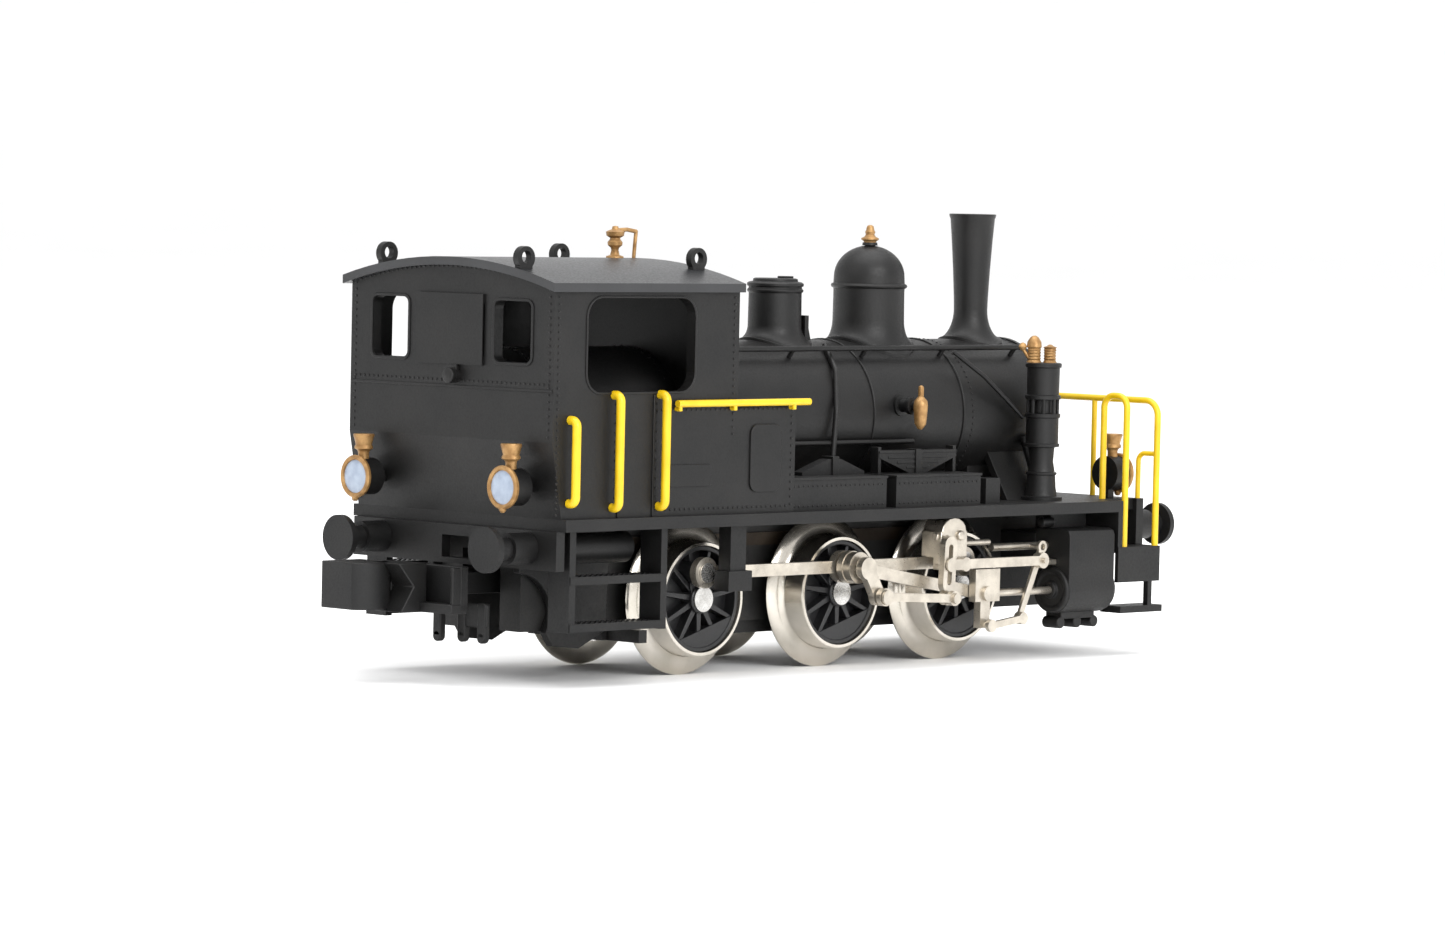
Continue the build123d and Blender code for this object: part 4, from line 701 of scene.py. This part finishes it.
# ---- cylinders: one smooth cover from chest to barrel, with end rings and drain flange ----
CYLINDER_X = (18.0, 21.9)
CYLINDER_Y, CYLINDER_Z = 7.2, 3.95
cylinder = Piece("cylinder_covers")
for side in (-1, 1):
    outline = [(5.8, 7.5), (8.1, 7.5), (8.4, 7.38), (8.5, 7.1), (8.5, 5.2)]
    for k in range(13):
        angle = math.radians(18 - 216 * k / 12)
        outline.append((CYLINDER_Y + 1.37 * math.cos(angle), CYLINDER_Z + 1.37 * math.sin(angle)))
    outline.append((5.8, 5.2))
    cylinder.prism([(CYLINDER_X[0], side * y, z) for y, z in outline], (0, 0, 0),
                   (CYLINDER_X[1] - CYLINDER_X[0], 0, 0))
    for x, facing in ((CYLINDER_X[0], -1), (CYLINDER_X[1], 1)):
        cylinder.lathe((x, side * CYLINDER_Y, CYLINDER_Z), (facing, 0, 0), (
            (-0.1, 1.32), (0.12, 1.32), (0.2, 1.24), (0.2, 1.02), (0.1, 0.95), (0.1, 0.5), (0.3, 0.45),
            (0.3, 0.28)), 40)
    cylinder.box(18.4, 21.5, side * 5.4, side * 6.6, 7.4, 8.4)
    cylinder.box(18.0, 21.9, side * 3.1, side * 5.8, 5.6, 7.2)
    cylinder.box(18.5, 21.4, side * 6.3, side * 7.5, 2.25, 2.8)
    for x in (18.5, 19.95, 21.4):
        cylinder.lathe((x, side * 6.9, 2.05), (0, side, 0), ((-0.6, 0.34), (0.6, 0.34)), 20)
    cylinder.lathe((CYLINDER_X[0], side * 6.75, 7.85), (-1, 0, 0), ((-0.3, 0.3), (0.6, 0.3), (0.65, 0.2)), 20)
cylinder.finish(PLASTIC, "root", ("cylinders",), edge=0.05)

# ---- motion brackets with their domed faces, and the slide bars ----
bracket = Piece("motion_bracket_castings")
for side in (-1, 1):
    outline = [(8.0, 6.1), (8.0, 7.6)]
    for k in range(9):
        angle = math.radians(180 - 180 * k / 8)
        outline.append((9.1 + 1.0 * math.cos(angle), 7.6 + 0.78 * math.sin(angle)))
    outline += [(10.2, 7.6), (10.2, 6.1)]
    bracket.prism([(x, side * 6.1, z) for x, z in outline], (0, 0, 0), (0, side * 1.5, 0))
    bracket.box(8.0, 18.0, side * 7.0, side * 7.5, 5.42, 5.74)
    bracket.box(8.0, 10.2, side * 7.0, side * 7.5, 5.7, 6.2)
    bracket.lathe((9.55, side * 7.6, 7.35), (0, side, 0), ((-0.05, 0.3), (0.16, 0.28), (0.2, 0.16)), 16)
    bracket.lathe((8.5, side * 7.6, 7.2), (0, side, 0), ((-0.05, 0.2), (0.1, 0.18)), 12)
    bracket.lathe((8.0, side * 7.2, 7.3), (-1, 0, 0), ((-0.05, 0.24), (0.12, 0.22)), 12)
    bracket.lathe((10.4, side * 6.9, 6.85), (1, 0, 0), ((0, 0.18), (2.4, 0.18)), 12)
bracket.finish(NICKEL, "root", ("motion_brackets",), edge=0.05)

# ---- smokebox door: dished face, two straps with hinges, and the handle ----
door = Piece("smokebox_door_fittings")
door.lathe((20.8, 0, BOILER_Z), (1, 0, 0), ((-0.1, 4.28), (0.12, 4.3), (0.18, 4.2), (0.3, 3.6)), 64)
door.lathe((20.9, 0, BOILER_Z), (1, 0, 0), ((0, 3.3), (0.3, 3.3), (0.55, 3.1), (0.9, 2.4), (1.15, 1.4),
                                            (1.25, 0.4)), 64)
for z in (12.6, 15.4):
    door.tube([(21.2, 3.35, z), (21.75, 2.2, z), (22.05, 0.9, z), (22.1, -0.6, z)], 0.16, 8)
    door.lathe((21.15, 3.4, z - 0.35), UP, ((0, 0.22), (0.7, 0.22)), 14)
door.lathe((22.0, 0, BOILER_Z), (1, 0, 0), ((0, 0.3), (0.3, 0.28), (0.34, 0.14), (0.62, 0.14)), 20)
door.tube([(22.45, -0.9, BOILER_Z - 0.5), (22.45, 0.9, BOILER_Z + 0.5)], 0.09, 8)
door.finish(BLACK, "root", ("smokebox_door",), edge=0)

# ---- chequered treads ----
treads = Piece("step_treads")
for side in (-1, 1):
    for top_z in (3.45, 5.95):
        for i in range(17):
            for j in range(4):
                x, y = -20.7 + i * 0.39, side * (6.65 + j * 0.36)
                treads.lathe((x, y, top_z - 0.01), UP, ((0, 0.11), (0.05, 0.06)), 4)
        treads.box(-21.35, -14.2, side * 7.9, side * 8.04, top_z - 0.4, top_z + 0.03)
treads.finish(PLASTIC, "root", edge=0)


# ---- camera, floor and light ----
CAMERA_PLACE = Vector((-237.589, -232.829, 27.038)) * MM
LENS_MM, SENSOR_MM = 147.33, 36
YAW, PITCH, ROLL = math.radians(44.659), math.radians(-2.794), math.radians(1.2424)
forward = Vector((math.cos(YAW) * math.cos(PITCH), math.sin(YAW) * math.cos(PITCH), math.sin(PITCH)))
right = Vector((math.sin(YAW), -math.cos(YAW), 0))
up = right.cross(forward)
rolled_right = right * math.cos(ROLL) + up * math.sin(ROLL)
rolled_up = up * math.cos(ROLL) - right * math.sin(ROLL)
lens = bpy.data.cameras.new("camera")
lens.lens = LENS_MM
lens.sensor_width = SENSOR_MM
lens.clip_start = 0.005
lens.clip_end = 20
camera = bpy.data.objects.new("camera", lens)
bpy.context.scene.collection.objects.link(camera)
camera.matrix_world = Matrix((
    (rolled_right.x, rolled_up.x, -forward.x, CAMERA_PLACE.x),
    (rolled_right.y, rolled_up.y, -forward.y, CAMERA_PLACE.y),
    (rolled_right.z, rolled_up.z, -forward.z, CAMERA_PLACE.z),
    (0, 0, 0, 1)))
bpy.context.scene.camera = camera

# a flat floor that sweeps up far behind, so that no edge shows
FLOOR_HALF_W, FLOOR_NEAR, FLOOR_FAR, SWEEP_R, BACKDROP_TOP = 3.0, -2.5, 1.4, 0.8, 3.0
sweep = [(FLOOR_NEAR, 0.0), (FLOOR_FAR, 0.0)]
sweep += [(FLOOR_FAR + SWEEP_R * math.sin(math.radians(t)), SWEEP_R * (1 - math.cos(math.radians(t))))
          for t in range(5, 91, 5)]
sweep.append((FLOOR_FAR + SWEEP_R, BACKDROP_TOP))
ahead = Vector((math.cos(YAW), math.sin(YAW), 0))
floor_mesh = bmesh.new()
edges = [[floor_mesh.verts.new(ahead * d + right * w + Vector((0, 0, z))) for d, z in sweep]
         for w in (-FLOOR_HALF_W, FLOOR_HALF_W)]
for i in range(len(sweep) - 1):
    face = floor_mesh.faces.new((edges[0][i], edges[1][i], edges[1][i + 1], edges[0][i + 1]))
    face.smooth = True
bmesh.ops.recalc_face_normals(floor_mesh, faces=floor_mesh.faces)
floor_data = bpy.data.meshes.new("floor")
floor_mesh.to_mesh(floor_data)
floor_mesh.free()
floor = bpy.data.objects.new("floor", floor_data)
bpy.context.scene.collection.objects.link(floor)
floor_paint, floor_tree, floor_shader = new_material("floor")
speckle = noise(floor_tree, 40.0, 2.0)
floor_tree.links.new(ramp(floor_tree, speckle, (0.95, 0.95, 0.95), (0.96, 0.96, 0.96)),
                     floor_shader.inputs["Base Color"])
floor_shader.inputs["Roughness"].default_value = 0.6
floor_shader.inputs["Specular IOR Level"].default_value = 0.25
floor_data.materials.append(floor_paint)

WORLD_STRENGTH = 1.06
world = bpy.data.worlds.new("studio")
world.use_nodes = True
world.node_tree.nodes["Background"].inputs["Color"].default_value = (1, 1, 1, 1)
world.node_tree.nodes["Background"].inputs["Strength"].default_value = WORLD_STRENGTH
bpy.context.scene.world = world


def area_light(name, place, target, size, power):
    light = bpy.data.lights.new(name, "AREA")
    light.shape = "RECTANGLE"
    light.size, light.size_y = size
    light.energy = power
    holder = bpy.data.objects.new(name, light)
    bpy.context.scene.collection.objects.link(holder)
    holder.location = place
    holder.rotation_euler = (Vector(target) - Vector(place)).to_track_quat("-Z", "Y").to_euler()


area_light("overhead", (0.0, -0.02, 0.42), (0, 0, 0), (0.5, 0.4), 1.6)
area_light("side", (-0.12, -0.42, 0.22), (0, 0, 0.01), (0.35, 0.25), 1.6)
area_light("rear", (-0.42, 0.05, 0.2), (0, 0, 0.01), (0.25, 0.2), 0.15)
bpy.context.scene.view_settings.view_transform = "Standard"
